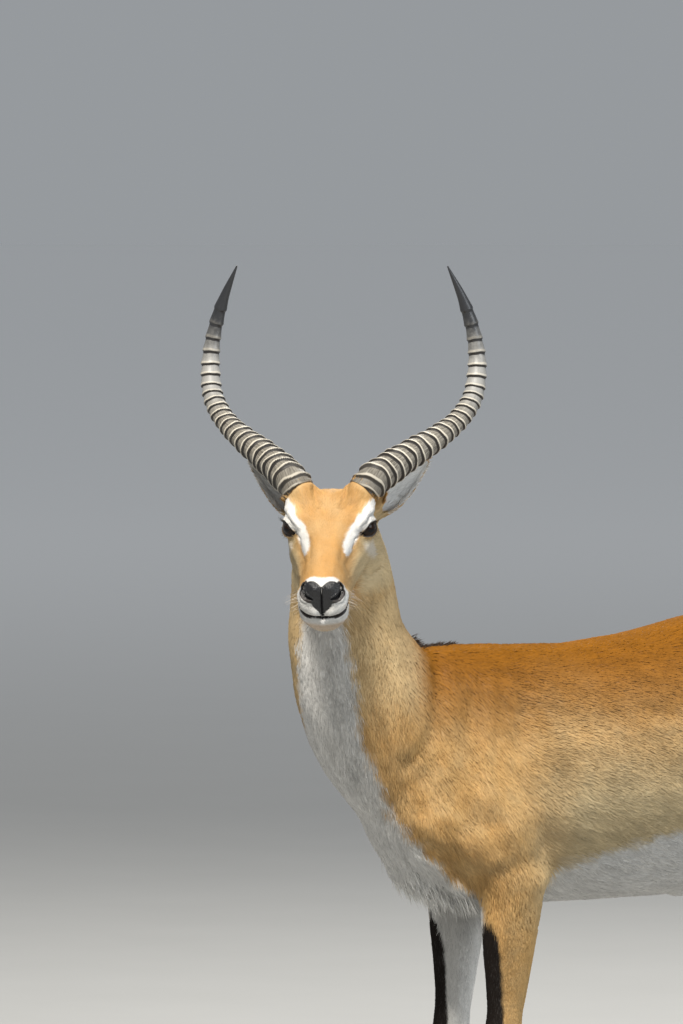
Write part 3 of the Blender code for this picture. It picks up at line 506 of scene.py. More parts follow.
    def body_white(self, points: Array, normals: Array) -> Array:
        """The white of throat, breast, belly, inner legs and feet."""
        x, y, z = points.T
        out = normals[:, 0] * np.sign(x)
        wander = wavy(points, 30.0) * 0.007 + wavy(points + 0.7, 90.0) * 0.003
        throat = eased(0.01, -0.01, y - np.interp(z, *np.array(self.throat).T) + wander)
        throat *= eased(0.6, 0.64, z) + eased(0.1, 0.08, np.abs(x)) * eased(0.64, 0.6, z)
        gap, share = path_distance(points, np.array(self.gullet))
        gullet = eased(
            0.009, -0.009,
            gap - np.interp(share, np.linspace(0, 1, len(self.gullet_widths)), self.gullet_widths) + wander
        )
        high = eased(0.825, 0.87, z)
        throat = throat * (1 - high) + gullet * high
        belly = eased(0.01, -0.01, z - np.interp(y, *np.array(self.belly).T) + wander)
        belly *= eased(0.5, 0.54, z) * eased(-0.175, -0.15, y) * eased(0.275, 0.215, y)
        keel = eased(-0.35, -0.6, normals[:, 2]) * eased(0.5, 0.53, z) * eased(0.66, 0.62, z)
        keel *= 1 - eased(-0.14, -0.17, y) * eased(0.066, 0.08, np.abs(x))
        inner = eased(-0.1, -0.45, out) * eased(0.7, 0.6, z) * eased(0.06, 0.075, z)
        seat = (
            eased(0.52, 0.66, y) * eased(0.056, 0.03, np.abs(x) + 2 * wander) * eased(0.9, 0.8, z)
            * eased(0.6, 0.68, z)
        )
        on_tail = eased(0.6, 0.62, y) * eased(0.86, 0.8, z)
        seat *= 1 - on_tail * eased(-0.25, 0.25, normals[:, 1])
        socks = eased(0.07, 0.058, z + wander)
        return np.max([throat, belly, keel, inner, seat * 0.9, socks], 0)

    def black(self, points: Array, normals: Array) -> Array:
        """The black of the legs' fronts, the tail's tuft and the line along the withers."""
        x, y, z = points.T
        out = normals[:, 0] * np.sign(x)
        wander = wavy(points, 30.0) * 0.01
        front = -normals[:, 1] + 0.12 * out
        fore = (y < 0.1) & (z < 0.62)
        stripe = (
            eased(0.5, 0.66, front - eased(0.47, 0.565, z) * 0.5 + wander * 4)
            * np.where(fore, 1.0, eased(0.47, 0.42, z))
        )
        legs = stripe * eased(0.6, 0.55, z) * eased(0.05, 0.066, z) * (1.0 - head_share(points))
        tuft = eased(0.64, 0.6, z + wander) * eased(0.6, 0.62, y) * eased(0.4, 0.44, z)
        ridge = (
            eased(0.012, 0.004, np.abs(x)) * eased(0.5, 0.8, normals[:, 2]) * eased(-0.44, -0.4, y)
            * eased(-0.05, -0.2, y) * eased(0.93, 0.96, z)
        )
        return np.max([legs, tuft, ridge * 0.75 * (1.0 - head_share(points))], 0)


def wavy(points: Array, pitch: float) -> Array:
    """A smooth irregular wave from about -1 to 1, with pitch waves to the metre."""
    x, y, z = (points * pitch * math.tau).T
    first = np.sin(x + 1.7 * np.sin(0.63 * y + 1.1) + 0.6 * z)
    second = (
        np.sin(0.83 * y - 1.3 * np.sin(0.71 * z + 0.4) + 2.1)
        + np.sin(1.13 * z + 0.9 * np.sin(0.57 * x) + 0.3)
    )
    return (first + second) / 3.0


def grain(points: Array, size: float) -> Array:
    """Smooth chance from 0 to 1 with blobs of some size."""
    place = points / size
    cell = np.floor(place).astype(np.int64)
    t = place - cell
    t = t * t * (3 - 2 * t)
    total = np.zeros(len(points))
    for corner in range(8):
        step = np.array([corner & 1, corner >> 1 & 1, corner >> 2 & 1])
        x, y, z = (cell + step).T
        mixed = (x * 73856093 ^ y * 19349663 ^ z * 83492791) & 0xFFFFFF
        mixed = (mixed * 1103515245 + 12345) & 0x7FFFFFFF
        total += (mixed >> 8 & 0xFFFF) / 65535.0 * np.prod(np.where(step, t, 1 - t), axis=1)
    return total


def streaks(points: Array, ways: Array) -> Array:
    """Chance drawn out along the lie of the hair, about 0.5."""
    total = np.zeros(len(points))
    steps = np.linspace(-0.02, 0.02, 7)
    for step in steps:
        total += grain(points + ways * step, 0.005) + 0.6 * grain(points + ways * step + 0.31, 0.0105)
    return np.clip(0.5 + (total / len(steps) / 1.6 - 0.5) * 2.1, 0, 1)


def head_share(points: Array) -> Array:
    """1 on the head and 0 behind and below the line where it meets the neck."""
    normal = (HEAD.heading * 0.35 + Vector((0, 0, 1))).normalized()
    through = np.array(HEAD.place(-0.044, -0.041, -0.126))
    return eased(-0.018, 0.018, (points - through) @ np.array(normal))


MARKINGS = Markings()


# ---- finishes


@dataclass(frozen=True)
class CoatFinish:
    """Short hair: the coat's colours, and how much one tuft differs from the next."""

    orange: Colour = (0.505, 0.312, 0.122)
    rust: Colour = (0.205, 0.078, 0.004)
    pale: Colour = (0.5, 0.405, 0.245)
    white: Colour = (0.63, 0.62, 0.595)
    black: Colour = (0.014, 0.01, 0.008)
    forehead: Colour = (0.44, 0.245, 0.082)
    variety: float = 0.55

    def colour(self, tree: Tree) -> Socket:
        """The coat's colour from the markings that hide and coat carry."""
        ground = tree.mix(tree.attribute("face"), self.orange, self.forehead)
        ground = tree.mix(tree.attribute("rust"), ground, self.rust)
        ground = tree.mix(tree.attribute("pale"), ground, self.pale)
        patch = tree.noise(tree.place(), 22.0, 2.0).eased(0.3, 0.75)
        ground = tree.mix(patch * (1.0 - tree.attribute("rust")) * 0.25, ground, self.pale)
        ground = tree.mix(tree.attribute("white"), ground, self.white)
        return tree.mix(tree.attribute("black"), ground, self.black)

    def tufts(self) -> Material:
        """The finish of the coat's tufts."""
        tree = Tree("coat_hair")
        strand, tip = tree.attribute("strand"), tree.attribute("tip")
        fine = tree.noise(tree.place(), 900.0, 1.0)
        light = 1.0 + (strand - 0.5) * self.variety + (tip - 0.5) * 0.3 + (fine - 0.5) * 0.25
        colour = tree.shaded(self.colour(tree), light)
        return tree.finish({"Base Color": colour, "Roughness": 0.62, "Specular IOR Level": 0.15})

    def hide(self) -> Material:
        """The finish of the hide under the coat, with the bare nose, lids and lips, and painted shade in the
        nose's groove and along the mouth.
        """
        tree = Tree("hide")
        down = tree.noise(tree.stretched((0, 0, 0), (0.0011, 0.0011, 0.01)), 1.0, 2.0)
        back = tree.noise(tree.stretched((0.3, 0, 0), (0.0011, 0.01, 0.0011)), 1.0, 2.0)
        lie = tree.attribute("backward")
        hair = back * lie + down * (1.0 - lie)
        colour = tree.shaded(self.colour(tree), 0.8 + hair * 0.36)
        bare, nose = tree.attribute("bare"), tree.attribute("nose")
        leather = tree.cells(tree.place(), 620.0)
        leather_colour = tree.mix(leather.eased(0.1, 0.7), (0.022, 0.022, 0.024), (0.005, 0.005, 0.006))
        # Bare skin is dark; along the mouth the dark band is also painted shade in the mouth's crease.
        colour = tree.mix(bare, colour, (0.022, 0.016, 0.014))
        colour = tree.mix(nose, colour, leather_colour)
        # Painted shade: the groove down the nose is coloured near black.
        furrow = tree.attribute("furrow")
        colour = tree.mix(furrow, colour, (0.003, 0.003, 0.003))
        rough = 0.75 - nose * (1.0 - furrow) * 0.42 - bare * (1.0 - nose) * 0.25
        relief = hair * (1.0 - nose) * 0.3 + (1.0 - leather) * nose
        normal = tree.bump(relief, 0.0008, 0.8)
        return tree.finish({"Base Color": colour, "Roughness": rough, "Normal": normal})


@dataclass(frozen=True)
class HornFinish:
    """Ringed horn: pale lips, worn and with a painted highlight, streaked grey slopes, painted shade under
    the rings, and a slate tip.
    """

    # pale lips of the rings: wear, and a painted highlight on the crests
    lip: Colour = (0.6, 0.55, 0.455)
    slope: Colour = (0.285, 0.262, 0.22)
    streak: Colour = (0.072, 0.062, 0.048)
    upper: Colour = (0.31, 0.308, 0.298)
    # painted shade under each ring's step
    under: Colour = (0.016, 0.013, 0.011)
    tip: Colour = (0.022, 0.023, 0.026)

    def make(self) -> Material:
        """The material, which reads the rings and the angle round the horn that the mesh carries."""
        tree = Tree("horn")
        lip, under, share = tree.attribute("lip"), tree.attribute("under"), tree.attribute("share")
        values = {0: tree.attribute("round_x") * 22.0, 1: tree.attribute("round_y") * 22.0, 2: share * 26.0}
        along = tree.node("ShaderNodeCombineXYZ", None, values).outputs[0]
        fibre = tree.noise(along, 1.0, 3.0, 0.6)
        grime = tree.noise(tree.place(), 140.0, 4.0)
        upper = share.eased(0.44, 0.6)
        colour = tree.mix(fibre.eased(0.3, 0.66), self.streak, self.slope)
        colour = tree.mix(upper * 0.75, colour, self.upper)
        # The pale lips stand for wear and for a painted highlight on the crests.
        worn = (lip + (grime - 0.5) * 0.7).eased(0.35, 0.95)
        colour = tree.mix(worn * (1.0 - upper * 0.45), colour, self.lip)
        # Painted shade: a dark line under each ring, on the step that faces the base.
        dark = (under * 1.1 + (grime - 0.5) * 0.5).eased(0.25, 0.9)
        colour = tree.mix(dark, colour, self.under)
        colour = tree.mix((0.13 - share).eased(0.0, 0.12) * 0.45, colour, self.streak)
        slate = (share + (grime - 0.5) * 0.12).eased(0.66, 0.84) ** 0.7
        colour = tree.mix(slate, colour, self.tip)
        rough = 0.5 - share.eased(0.5, 0.8) * 0.2 + grime * 0.12
        relief = fibre * (1.0 - upper * 0.6) * 0.7 + grime * 0.3
        normal = tree.bump(relief, 0.0006, 0.8)
        return tree.finish({"Base Color": colour, "Roughness": rough, "Normal": normal})


@dataclass(frozen=True)
class HoofFinish:
    """Black horn of the claws, with growth rings and scuffed, dusty edges."""

    horn: Colour = (0.02, 0.018, 0.017)
    scuff: Colour = (0.11, 0.098, 0.085)

    def make(self) -> Material:
        """The material, with rings level with the ground."""
        tree = Tree("hoof")
        rings = tree.noise(tree.stretched((0, 0, 0), (0.012, 0.012, 0.001)), 1.0, 3.0)
        height = Number(tree, tree.node("ShaderNodeSeparateXYZ", None, {0: tree.place()}).outputs[2])
        low = 1.0 - height.eased(0.001, 0.014)
        worn = (low * 0.8 + tree.noise(tree.place(), 240.0, 4.0) - 0.55).eased(0.0, 0.8)
        colour = tree.mix(worn * 0.7 + rings * 0.12, self.horn, self.scuff)
        normal = tree.bump(rings, 0.0005, 0.7)
        return tree.finish({"Base Color": colour, "Roughness": 0.34 + worn * 0.35, "Normal": normal})


@dataclass(frozen=True)
class EyeFinish:
    """A dark brown eye with a level pupil, under a wet cornea."""

    iris: Colour = (0.01, 0.005, 0.003)
    rim: Colour = (0.006, 0.004, 0.003)

    def make(self) -> Material:
        """The material, which reads where the pupil and the eye's dark edge lie."""
        tree = Tree("eye")
        pupil, edge = tree.attribute("pupil"), tree.attribute("edge")
        rays = tree.noise(tree.place(), 900.0, 3.0)
        colour = tree.mix(rays.eased(0.35, 0.7), self.iris, (0.022, 0.01, 0.005))
        colour = tree.mix(edge, colour, self.rim)
        colour = tree.mix(pupil, colour, (0.002, 0.002, 0.003))
        values = {"Base Color": colour, "Roughness": 0.14 - pupil * 0.05, "Specular IOR Level": 0.22}
        values.update({"Coat Weight": 0.16, "Coat Roughness": 0.02, "IOR": 1.33})
        return tree.finish(values)


@dataclass(frozen=True)
class LashFinish:
    """Stiff dark hair: lashes and whiskers."""

    colour: Colour = (0.016, 0.012, 0.01)

    def make(self, name: str) -> Material:
        """The material, a little lighter to the hairs' tips."""
        tree = Tree(name)
        light = 0.8 + tree.attribute("tip") * 0.7 + (tree.attribute("strand") - 0.5) * 0.5
        dark = tree.mix(0.0, self.colour, self.colour)
        return tree.finish({"Base Color": tree.shaded(dark, light), "Roughness": 0.42})


# ---- meshes


def loose(name: str, data: bpy.types.ID) -> Object:
    """Links a new object for a mesh, a lamp or a camera."""
    obj = bpy.data.objects.new(name, data)
    bpy.context.scene.collection.objects.link(obj)
    return obj


def linked(name: str, mesh: Mesh, material: Material, slot: str, *nodes: str) -> Object:
    """Makes a finished piece of the model.

    Args:
        name: The piece's name.
        mesh: Its mesh, in the model's frame.
        material: Its finish.
        slot: Not used.
        nodes: The CAD nodes that it stands for.

    Returns:
        The piece, riding on the one body.
    """
    mesh.name = name
    mesh.materials.clear()
    mesh.materials.append(material)
    piece = loose(name, mesh)
    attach(piece, BODY)
    if nodes:
        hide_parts(*nodes)
    log.info("%s: %d triangles", name, sum(len(p.vertices) - 2 for p in mesh.polygons))
    return piece


def mesh_of(bm: bmesh.types.BMesh, smooth: bool = True) -> Mesh:
    """A mesh from a bmesh, which is freed."""
    mesh = bpy.data.meshes.new("piece")
    bm.to_mesh(mesh)
    bm.free()
    mesh.polygons.foreach_set("use_smooth", np.full(len(mesh.polygons), smooth))
    return mesh


def read(parts: bpy.types.bpy_prop_collection, name: str, width: int, kind: type = np.int32) -> Array:
    """One property of a mesh's parts, with the numbers of one part in a row."""
    flat = np.empty(len(parts) * width, kind)
    parts.foreach_get(name, flat)
    return flat.reshape(-1, width)


def coordinates(mesh: Mesh) -> Array:
    """A mesh's vertices, one a row."""
    return read(mesh.vertices, "co", 3, np.float32).astype(float)


def directions(mesh: Mesh) -> Array:
    """A mesh's vertex normals, one a row."""
    return read(mesh.vertex_normals, "vector", 3, np.float32).astype(float)


def corners_of(mesh: Mesh, kind: str = "vertices") -> Array:
    """The vertices, or the loops, of each of a mesh's triangles."""
    mesh.calc_loop_triangles()
    return read(mesh.loop_triangles, kind, 3)


def move_to(mesh: Mesh, points: Array) -> None:
    """Gives a mesh's vertices new places."""
    mesh.vertices.foreach_set("co", points.astype(np.float32).ravel())
    mesh.update()


def carry(mesh: Mesh, numbers: dict[str, Array]) -> None:
    """Stores numbers on a mesh's vertices, each under its name."""
    for name, values in numbers.items():
        found = mesh.attributes.get(name) or mesh.attributes.new(name, "FLOAT", "POINT")
        found.data.foreach_set("value", values.astype(np.float32))


def flaps(bm: bmesh.types.BMesh) -> list[bmesh.types.BMFace]:
    """The faces that share all their corners with another one, which a union leaves on a sliver."""
    found: dict[frozenset, list[bmesh.types.BMFace]] = {}
    for face in bm.faces:
        found.setdefault(frozenset(face.verts), []).append(face)
    return [face for faces in found.values() if len(faces) > 1 for face in faces]


def relax(
    mesh: Mesh, rounds: int, share: Array | float = 1.0, factors: tuple[float, ...] = (0.5, -0.53)
) -> None:
    """Takes the facets off a mesh without shrinking it, by smoothing it in and out in turn.

    Args:
        mesh: The mesh.
        rounds: How often it is smoothed.
        share: How much of each step each vertex takes.
        factors: The steps of one round; a single one rounds broad forms off, too.
    """
    points = coordinates(mesh)
    ends = read(mesh.edges, "vertices", 2)
    a, b = ends.T
    count = len(points)
    degree = np.maximum(np.bincount(ends.ravel(), minlength=count), 1)[:, None]
    weight = np.broadcast_to(np.reshape(share, (-1, 1)), (count, 1))
    for factor in factors * rounds:
        near = np.stack(
            [np.bincount(a, points[b, i], count) + np.bincount(b, points[a, i], count) for i in range(3)], 1
        )
        points = points + factor * weight * (near / degree - points)
    move_to(mesh, points)


def evaluated(obj: Object) -> Mesh:
    """The mesh that an object's modifiers make; the object itself is removed."""
    bpy.context.view_layer.update()
    graph = bpy.context.evaluated_depsgraph_get()
    made = bpy.data.meshes.new_from_object(obj.evaluated_get(graph))
    bpy.data.objects.remove(obj)
    return made


def solid(node: str) -> bmesh.types.BMesh:
    """A copy of a CAD node's mesh, merged and with its faces outward."""
    bm = bmesh.new()
    bm.from_mesh(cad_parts[node].data)
    bmesh.ops.remove_doubles(bm, verts=bm.verts, dist=1e-5)
    bmesh.ops.recalc_face_normals(bm, faces=bm.faces)
    return bm


def remeshed(mesh: Mesh, voxel: float) -> Mesh:
    """A mesh made anew from voxels of one size, which fuses what overlaps."""
    obj = loose("remeshed", mesh)
    remesh = obj.modifiers.new("fuse", "REMESH")
    remesh.mode, remesh.voxel_size = "VOXEL", voxel
    return evaluated(obj)


# ---- relief of the hide


@dataclass(frozen=True)
class Stroke:
    """A ridge or, with a height below zero, a groove along a path. Width is its half width."""

    path: tuple[Point, ...]
    width: float
    height: float

    def lift(self, points: Array, path: Array, skin: Surface) -> Array:
        """How far each point rises, with the stroke's path laid on the skin."""
        path = skin.laid(np.vstack([path, path[:1]]) if len(path) == 1 else path, self.width)
        gap, _ = path_distance(points, path, 2.2 * self.width)
        return self.height * np.exp(-((gap / self.width) ** 2))


def strokes(*rows: tuple[tuple[Point, ...], float, float]) -> tuple[Stroke, ...]:
    """Strokes from rows of path, width and height in millimetres."""
    metres = [[tuple(number / 1000 for number in place) for place in path] for path, _, _ in rows]
    return tuple(Stroke(tuple(path), row[1] / 1000, row[2] / 1000) for path, row in zip(metres, rows))


FACE_STROKES = strokes(
    (((166, 21.5, -11), (174.5, 12.5, -16)), 6.2, 2.4),  # inner wing of the nostril
    (((154.5, 33.5, -14), (162, 35, -26), (170, 30, -37)), 3, 1.6),  # its outer rim
    (((178, 0, -13), (181, 0, -30), (181, 0, -64)), 1.1, -2.2),  # philtrum
    (((179.5, 19, -38.5), (180, 16.5, -45), (180, 6, -53)), 1.3, -0.8),
    (((177, 12, -57.5), (171.5, 30, -49), (160, 39.5, -40), (145, 43, -35)), 6, 2.6),  # upper lip
    (((174, 0, -76), (164, 25, -74), (145, 34, -72)), 5.5, 1.2),  # lower lip
    (((28, 54, 13), (8, 68, 23), (-14, 75.5, 17)), 1.6, -1.6),  # lid crease
    (((30, 51, 16), (8, 64, 28), (-14, 74, 23)), 3.4, 1.8),  # brow
    (((28, 56, -13), (8, 68, -20), (-8, 72, -16)), 1.6, -1.2),  # lower crease
    (((26, 52.5, 1), (36, 48, 0.5), (44, 43.8, 0), (56, 40, -10)), 1.7, -2.4),  # tear furrow
    (((20, 61, -23), (55, 50, -28), (95, 42, -34)), 6, 1.6),  # cheekbone
    (((56, 41, -13), (95, 36, -15)), 8, -2.4),
    (((-30, 58, -95), (8, 56, -88), (25, 56, -62)), 4.5, -2),  # jaw muscle
    (((30, 48, -85), (90, 38, -78)), 6, 1.2),
    (((-48, 64, 6),), 12, -3),  # temple
    (((-6, 18, 34), (-34, 22, 48)), 6, -5),  # fold beside the pedicle
    (((8, 38, 30), (-15, 42, 38)), 11, 2.8),  # brow bone
    (((60, 28, 6), (100, 27, -2)), 7, -2.2),
    (((90, 19, 8), (135, 18, 1)), 8, 1.2),  # nasal bone
    (((110, 40, -30), (70, 50, -50), (50, 52, -80)), 1.7, 0.8),  # vein
)
MOUTH = Stroke(
    (
        (0.1795, 0.0, -0.0661),
        (0.1775, 0.011, -0.0655),
        (0.175, 0.024, -0.064),
        (0.167, 0.0355, -0.0585),
        (0.158, 0.0425, -0.052),
        (0.153, 0.0445, -0.048),
    ),
    0.0028,
    -0.0066,
)
PHILTRUM = ((0.176, 0.0, -0.013), (0.181, 0.0, -0.03), (0.181, 0.0, -0.064))
BROW_STROKES = (Stroke(((0.035, 0.0, 0.024), (-0.02, 0.0, 0.038)), 0.011, -0.0034),)
NOSTRIL = (
    (0.157, 0.0295, -0.016), (0.16, 0.0303, -0.0205), (0.164, 0.03, -0.027), (0.1705, 0.0255, -0.0325),
    (0.178, 0.016, -0.0325)
)
BODY_STROKES = strokes(
    (((68, -340, 955), (88, -358, 910), (97, -375, 849), (90, -415, 800)), 13, -4.8),  # neck's foot
    (((80, -318, 945), (104, -332, 870), (112, -352, 800), (106, -385, 750)), 18, 3.2),  # shoulder's edge
    (((106, -292, 915), (118, -308, 855)), 11, -3),
    (((104, -255, 940), (124, -275, 850), (130, -290, 780)), 12, 3.5),  # blade's ridge
    (((108, -200, 920), (132, -225, 820)), 14, -4),
    (((120, -290, 735), (130, -250, 700)), 36, 6.2),  # upper arm
    (((136, -158, 765), (139, -168, 715), (132, -185, 625)), 20, -4.5),  # behind the upper arm
    (((127, -190, 600),), 18, 5),  # elbow
    (((70, -320, 615), (105, -290, 618), (124, -240, 628), (128, -205, 640)), 16, -4),  # over the foreleg
    (((106, -245, 560), (104, -250, 500)), 14, 3),  # forearm
    (((130, 245, 840), (135, 215, 780)), 34, -5.5),  # flank
    (((95, 290, 995),), 18, 5.5),  # hip
    (((121, 530, 800), (122, 545, 740), (108, 560, 640)), 22, -2.5),  # hamstring groove
    (((132, 390, 760), (134, 380, 660)), 18, -3),
    (((128, 440, 860), (132, 450, 760), (128, 455, 660)), 36, 1.8),  # rump
    (((30, -340, 590), (52, -322, 585), (72, -290, 560)), 9, -7),  # brisket fold
    (((45, -372, 660), (74, -350, 625), (82, -325, 585)), 11, 6),
    (((18, -372, 605), (44, -335, 575), (60, -300, 555)), 20, 15),  # hanging fold
    (((80, 300, 640), (110, 330, 665)), 10, 4.5),  # fold of the flank
    (((62, -500, 960), (60, -470, 880), (58, -440, 800)), 12, -3.5),  # throat's edge
    (((72, -455, 990), (78, -425, 900), (84, -405, 830)), 18, 3.5),  # neck muscle
)
RIBS = tuple(
    Stroke(
        ((0.135, -0.115 + 0.034 * k, 0.87), (0.15, -0.1 + 0.034 * k, 0.78), (0.14, -0.1 + 0.034 * k, 0.69)),
        0.008, -0.0013
    )
    for k in range(9)
)


def sinew_strokes() -> list[Stroke]:
    """Grooves between bone and sinew on both faces of each cannon."""
    made = []
    for leg in LEGS:
        low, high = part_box(f"{leg}_cannon")
        x, half = (low.x + high.x) / 2, (high.x - low.x) / 2
        y_low = low.y + 0.031
        y_top = y_low if leg.startswith("foreleg") else y_low + 0.03
        for way in (1, -1):
            foot = (x + way * half * 0.55, y_low, low.z + 0.02)
            hock = (x + way * half * 0.6, y_top, high.z - 0.03)
            made.append(Stroke((foot, hock), 0.004, -0.0018))
    return made


class Lids:
    """The eye's opening: an almond in angles about the eye's centre, with a thick margin round it."""

    axis = (0.665, 0.742, 0.075)  # where the opening looks, in the head's frame, left eye
    inner = (0.783, -0.616, -0.085)  # towards the inner corner
    half_length = 1.12  # radians from the axis to a corner
    upper = 0.64
    lower = 0.48
    # of the opening's four quarters: above and below, inner and outer
    sharpness = ((1.12, 1.9), (1.5, 2.0))
    margin = 0.0009  # how far the margin stands off the eye
    thickness = 0.0022
    pocket = 0.0035  # how far the hide sinks behind the eye's surface
    reach = 2.1  # how far the lids' form goes, in shares of the opening

    def __init__(self, side: int) -> None:
        self.side = side
        self.eye = np.array(middle("eye_left" if side > 0 else "eye_right"))
        low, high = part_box("eye_left")
        self.radius = (high.x - low.x) / 2
        flip = Vector((1, side, 1))
        out = (HEAD.axes @ (Vector(self.axis) * flip)).normalized()
        along = HEAD.axes @ (Vector(self.inner) * flip)
        along = (along - out * along.dot(out)).normalized()
        above = out.cross(along)
        if above.z < 0:
            above = -above
        self.frame = np.array((along, above, out))

    def angles(self, points: Array) -> tuple[Array, Array, Array, Array]:
        """Angles along and above the opening, distances from the eye, and shares of the opening."""
        ray = (points - self.eye) @ self.frame.T
        reach = np.linalg.norm(ray, axis=1)
        x, y, z = (ray / np.maximum(reach, 1e-9)[:, None]).T
        spread = 2.0 / (1.0 + np.maximum(z, -0.2))
        x, y = x * spread, y * spread
        return x, y, reach, self.share(x, y)

    def share(self, x: Array, y: Array) -> Array:
        """1 on the opening's edge, less inside and more outside."""
        height = np.where(y > 0, self.upper, self.lower)
        above, below = (np.where(x > 0, *row) for row in self.sharpness)
        p = np.where(y > 0, above, below)
        return (np.abs(x / self.half_length) ** p + np.abs(y / height) ** p) ** (1.0 / p)

    def edge(self, x: float, upper: bool) -> float:
        """The opening's height above or below its long axis, at a place on it."""
        p = self.sharpness[0 if upper else 1][0 if x > 0 else 1]
        return (
            (1 - min(1.0, abs(x / self.half_length)) ** p) ** (1 / p)
            * (self.upper if upper else -self.lower)
        )

    def shape(self, points: Array) -> Array:
        """Presses the opening's form into the hide."""
        x, y, reach, share = self.angles(points)
        near = (reach < self.radius * 1.9) & (((points - self.eye) @ self.frame[2]) > -0.004)
        snapped = np.where(np.abs(share - 1.0) < 0.05, 1.0, share)
        pull = snapped / np.maximum(share, 1e-6)
        x, y = x * pull, y * pull
        flat = x * x + y * y
        ray = np.stack([x, y, (4.0 - flat) / 4.0], 1) / ((4.0 + flat) / 4.0)[:, None]
        lip = self.radius + self.margin
        inside = lip - (self.pocket + self.margin) * eased(1.0, 0.86, snapped)
        above = eased(0.0, 0.3, y) * eased(0.6, -0.1, x)
        folds = (
            0.0007 * np.cos((snapped - 1.22) * math.tau / 0.17) * above * eased(1.12, 1.22, snapped)
            * eased(1.85, 1.6, snapped)
        )
        outside = (
            lip + self.thickness * (1 + 0.5 * above) * eased(1.0, 1.2, snapped)
            + 0.0012 * eased(1.3, 1.9, snapped) + folds
        )
        wanted = np.where(snapped <= 1.0, inside, outside)
        hold = eased(self.reach, 1.25, snapped)
        new = self.eye + (ray * (reach + (wanted - reach) * hold)[:, None]) @ self.frame
        return np.where(near[:, None] & (snapped < self.reach)[:, None], new, points)

    def bare(self, points: Array) -> Array:
        """1 on the dark margin and inside it."""
        _, _, reach, share = self.angles(points)
        return eased(1.17, 1.08, share) * (reach < self.radius * 1.5)


LIDS = {side: Lids(side) for side in SIDES.values()}


# ---- ears


@dataclass
class Ear:
    """A pointed cup of gristle and thin hide that grows from the side of the head."""

    side: int
    base: Point = (-0.078, 0.059, -0.025)
    way: Point = (-0.117, 0.0756, 0.032)
    length: float = 0.148
    buried: float = 0.012
    wall: float = 0.0026
    # share of the length, half breadth, depth, half wrap in degrees
    leaf: tuple[tuple[float, float, float, float], ...] = (
        (0.0, 0.0125, 0.0135, 165.0),
        (0.15, 0.015, 0.015, 155.0),
        (0.28, 0.0215, 0.018, 125.0),
        (0.48, 0.0285, 0.018, 100.0),
        (0.68, 0.0255, 0.0142, 92.0),
        (0.87, 0.0145, 0.0085, 88.0),
        (1.0, 0.002, 0.0016, 85.0),
    )

    def axes(self) -> tuple[Vector, Vector, Vector, Vector]:
        """The ear's base, its line, the way its cup opens, and its breadth."""
        base = HEAD.place(self.base[0], self.side * self.base[1], self.base[2])
        along = (HEAD.axes @ Vector((self.way[0], self.side * self.way[1], self.way[2]))).normalized()
        opens = HEAD.heading * 0.8 + HEAD.left * self.side * 0.42 - Vector((0, 0, 0.42))
        opens = (opens - along * opens.dot(along)).normalized()
        return base, along, opens, along.cross(opens)

    def place(self, share: float, turn: float) -> Vector:
        """A point of the ear's outer face: turn goes from -1 to 1 across its back."""
        base, along, opens, broad = self.axes()
        knots = [row[0] for row in self.leaf]
        _, wide, deep, wrap = spline(knots, list(self.leaf), share)
        a = math.radians(wrap) * turn
        bend = opens * (0.01 * share * share)
        return (
            base + along * (self.length * share - self.buried * (1 - share)) + broad * wide * math.sin(a)
            - opens * deep * math.cos(a) + bend
        )

    def mesh(self) -> Mesh:
        """A closed shell: a sheet bent into the cup, then given its wall."""
        rows, columns = 44, 24
        bm = bmesh.new()
        bmesh.ops.create_grid(bm, x_segments=columns, y_segments=rows, size=1.0)
        for vert in bm.verts:
            vert.co = self.place((vert.co.y + 1.0) / 2.0, vert.co.x)
        bmesh.ops.recalc_face_normals(bm, faces=bm.faces)
        _, _, opens, _ = self.axes()
        back = min(bm.faces, key=lambda f: (f.calc_center_median() - self.place(0.5, 0.0)).length)
        if back.normal.dot(opens) > 0:
            bmesh.ops.reverse_faces(bm, faces=bm.faces)
        bmesh.ops.solidify(bm, geom=bm.faces[:], thickness=self.wall)
        bmesh.ops.recalc_face_normals(bm, faces=bm.faces)
        return mesh_of(bm)

    def across(self, points: Array) -> tuple[Array, Array]:
        """How far along the ear points lie, and the way to each from the middle of the cup."""
        base, along, opens, _ = (np.array(v) for v in self.axes())
        offset = points - base
        share = (offset @ along) / self.length
        spoke = offset - (offset @ along)[:, None] * along - (0.01 * share * share)[:, None] * opens
        near = (share > 0.1) & (share < 1.05) & (np.linalg.norm(spoke, axis=1) < 0.045)
        return np.where(near, share, -1.0), spoke

    def upper(self) -> float:
        """The turn of the higher one of the two edges."""
        return max((1.0, -1.0), key=lambda turn: self.place(0.5, turn).z)


EARS = {side: Ear(side) for side in SIDES.values()}


# ---- the hide


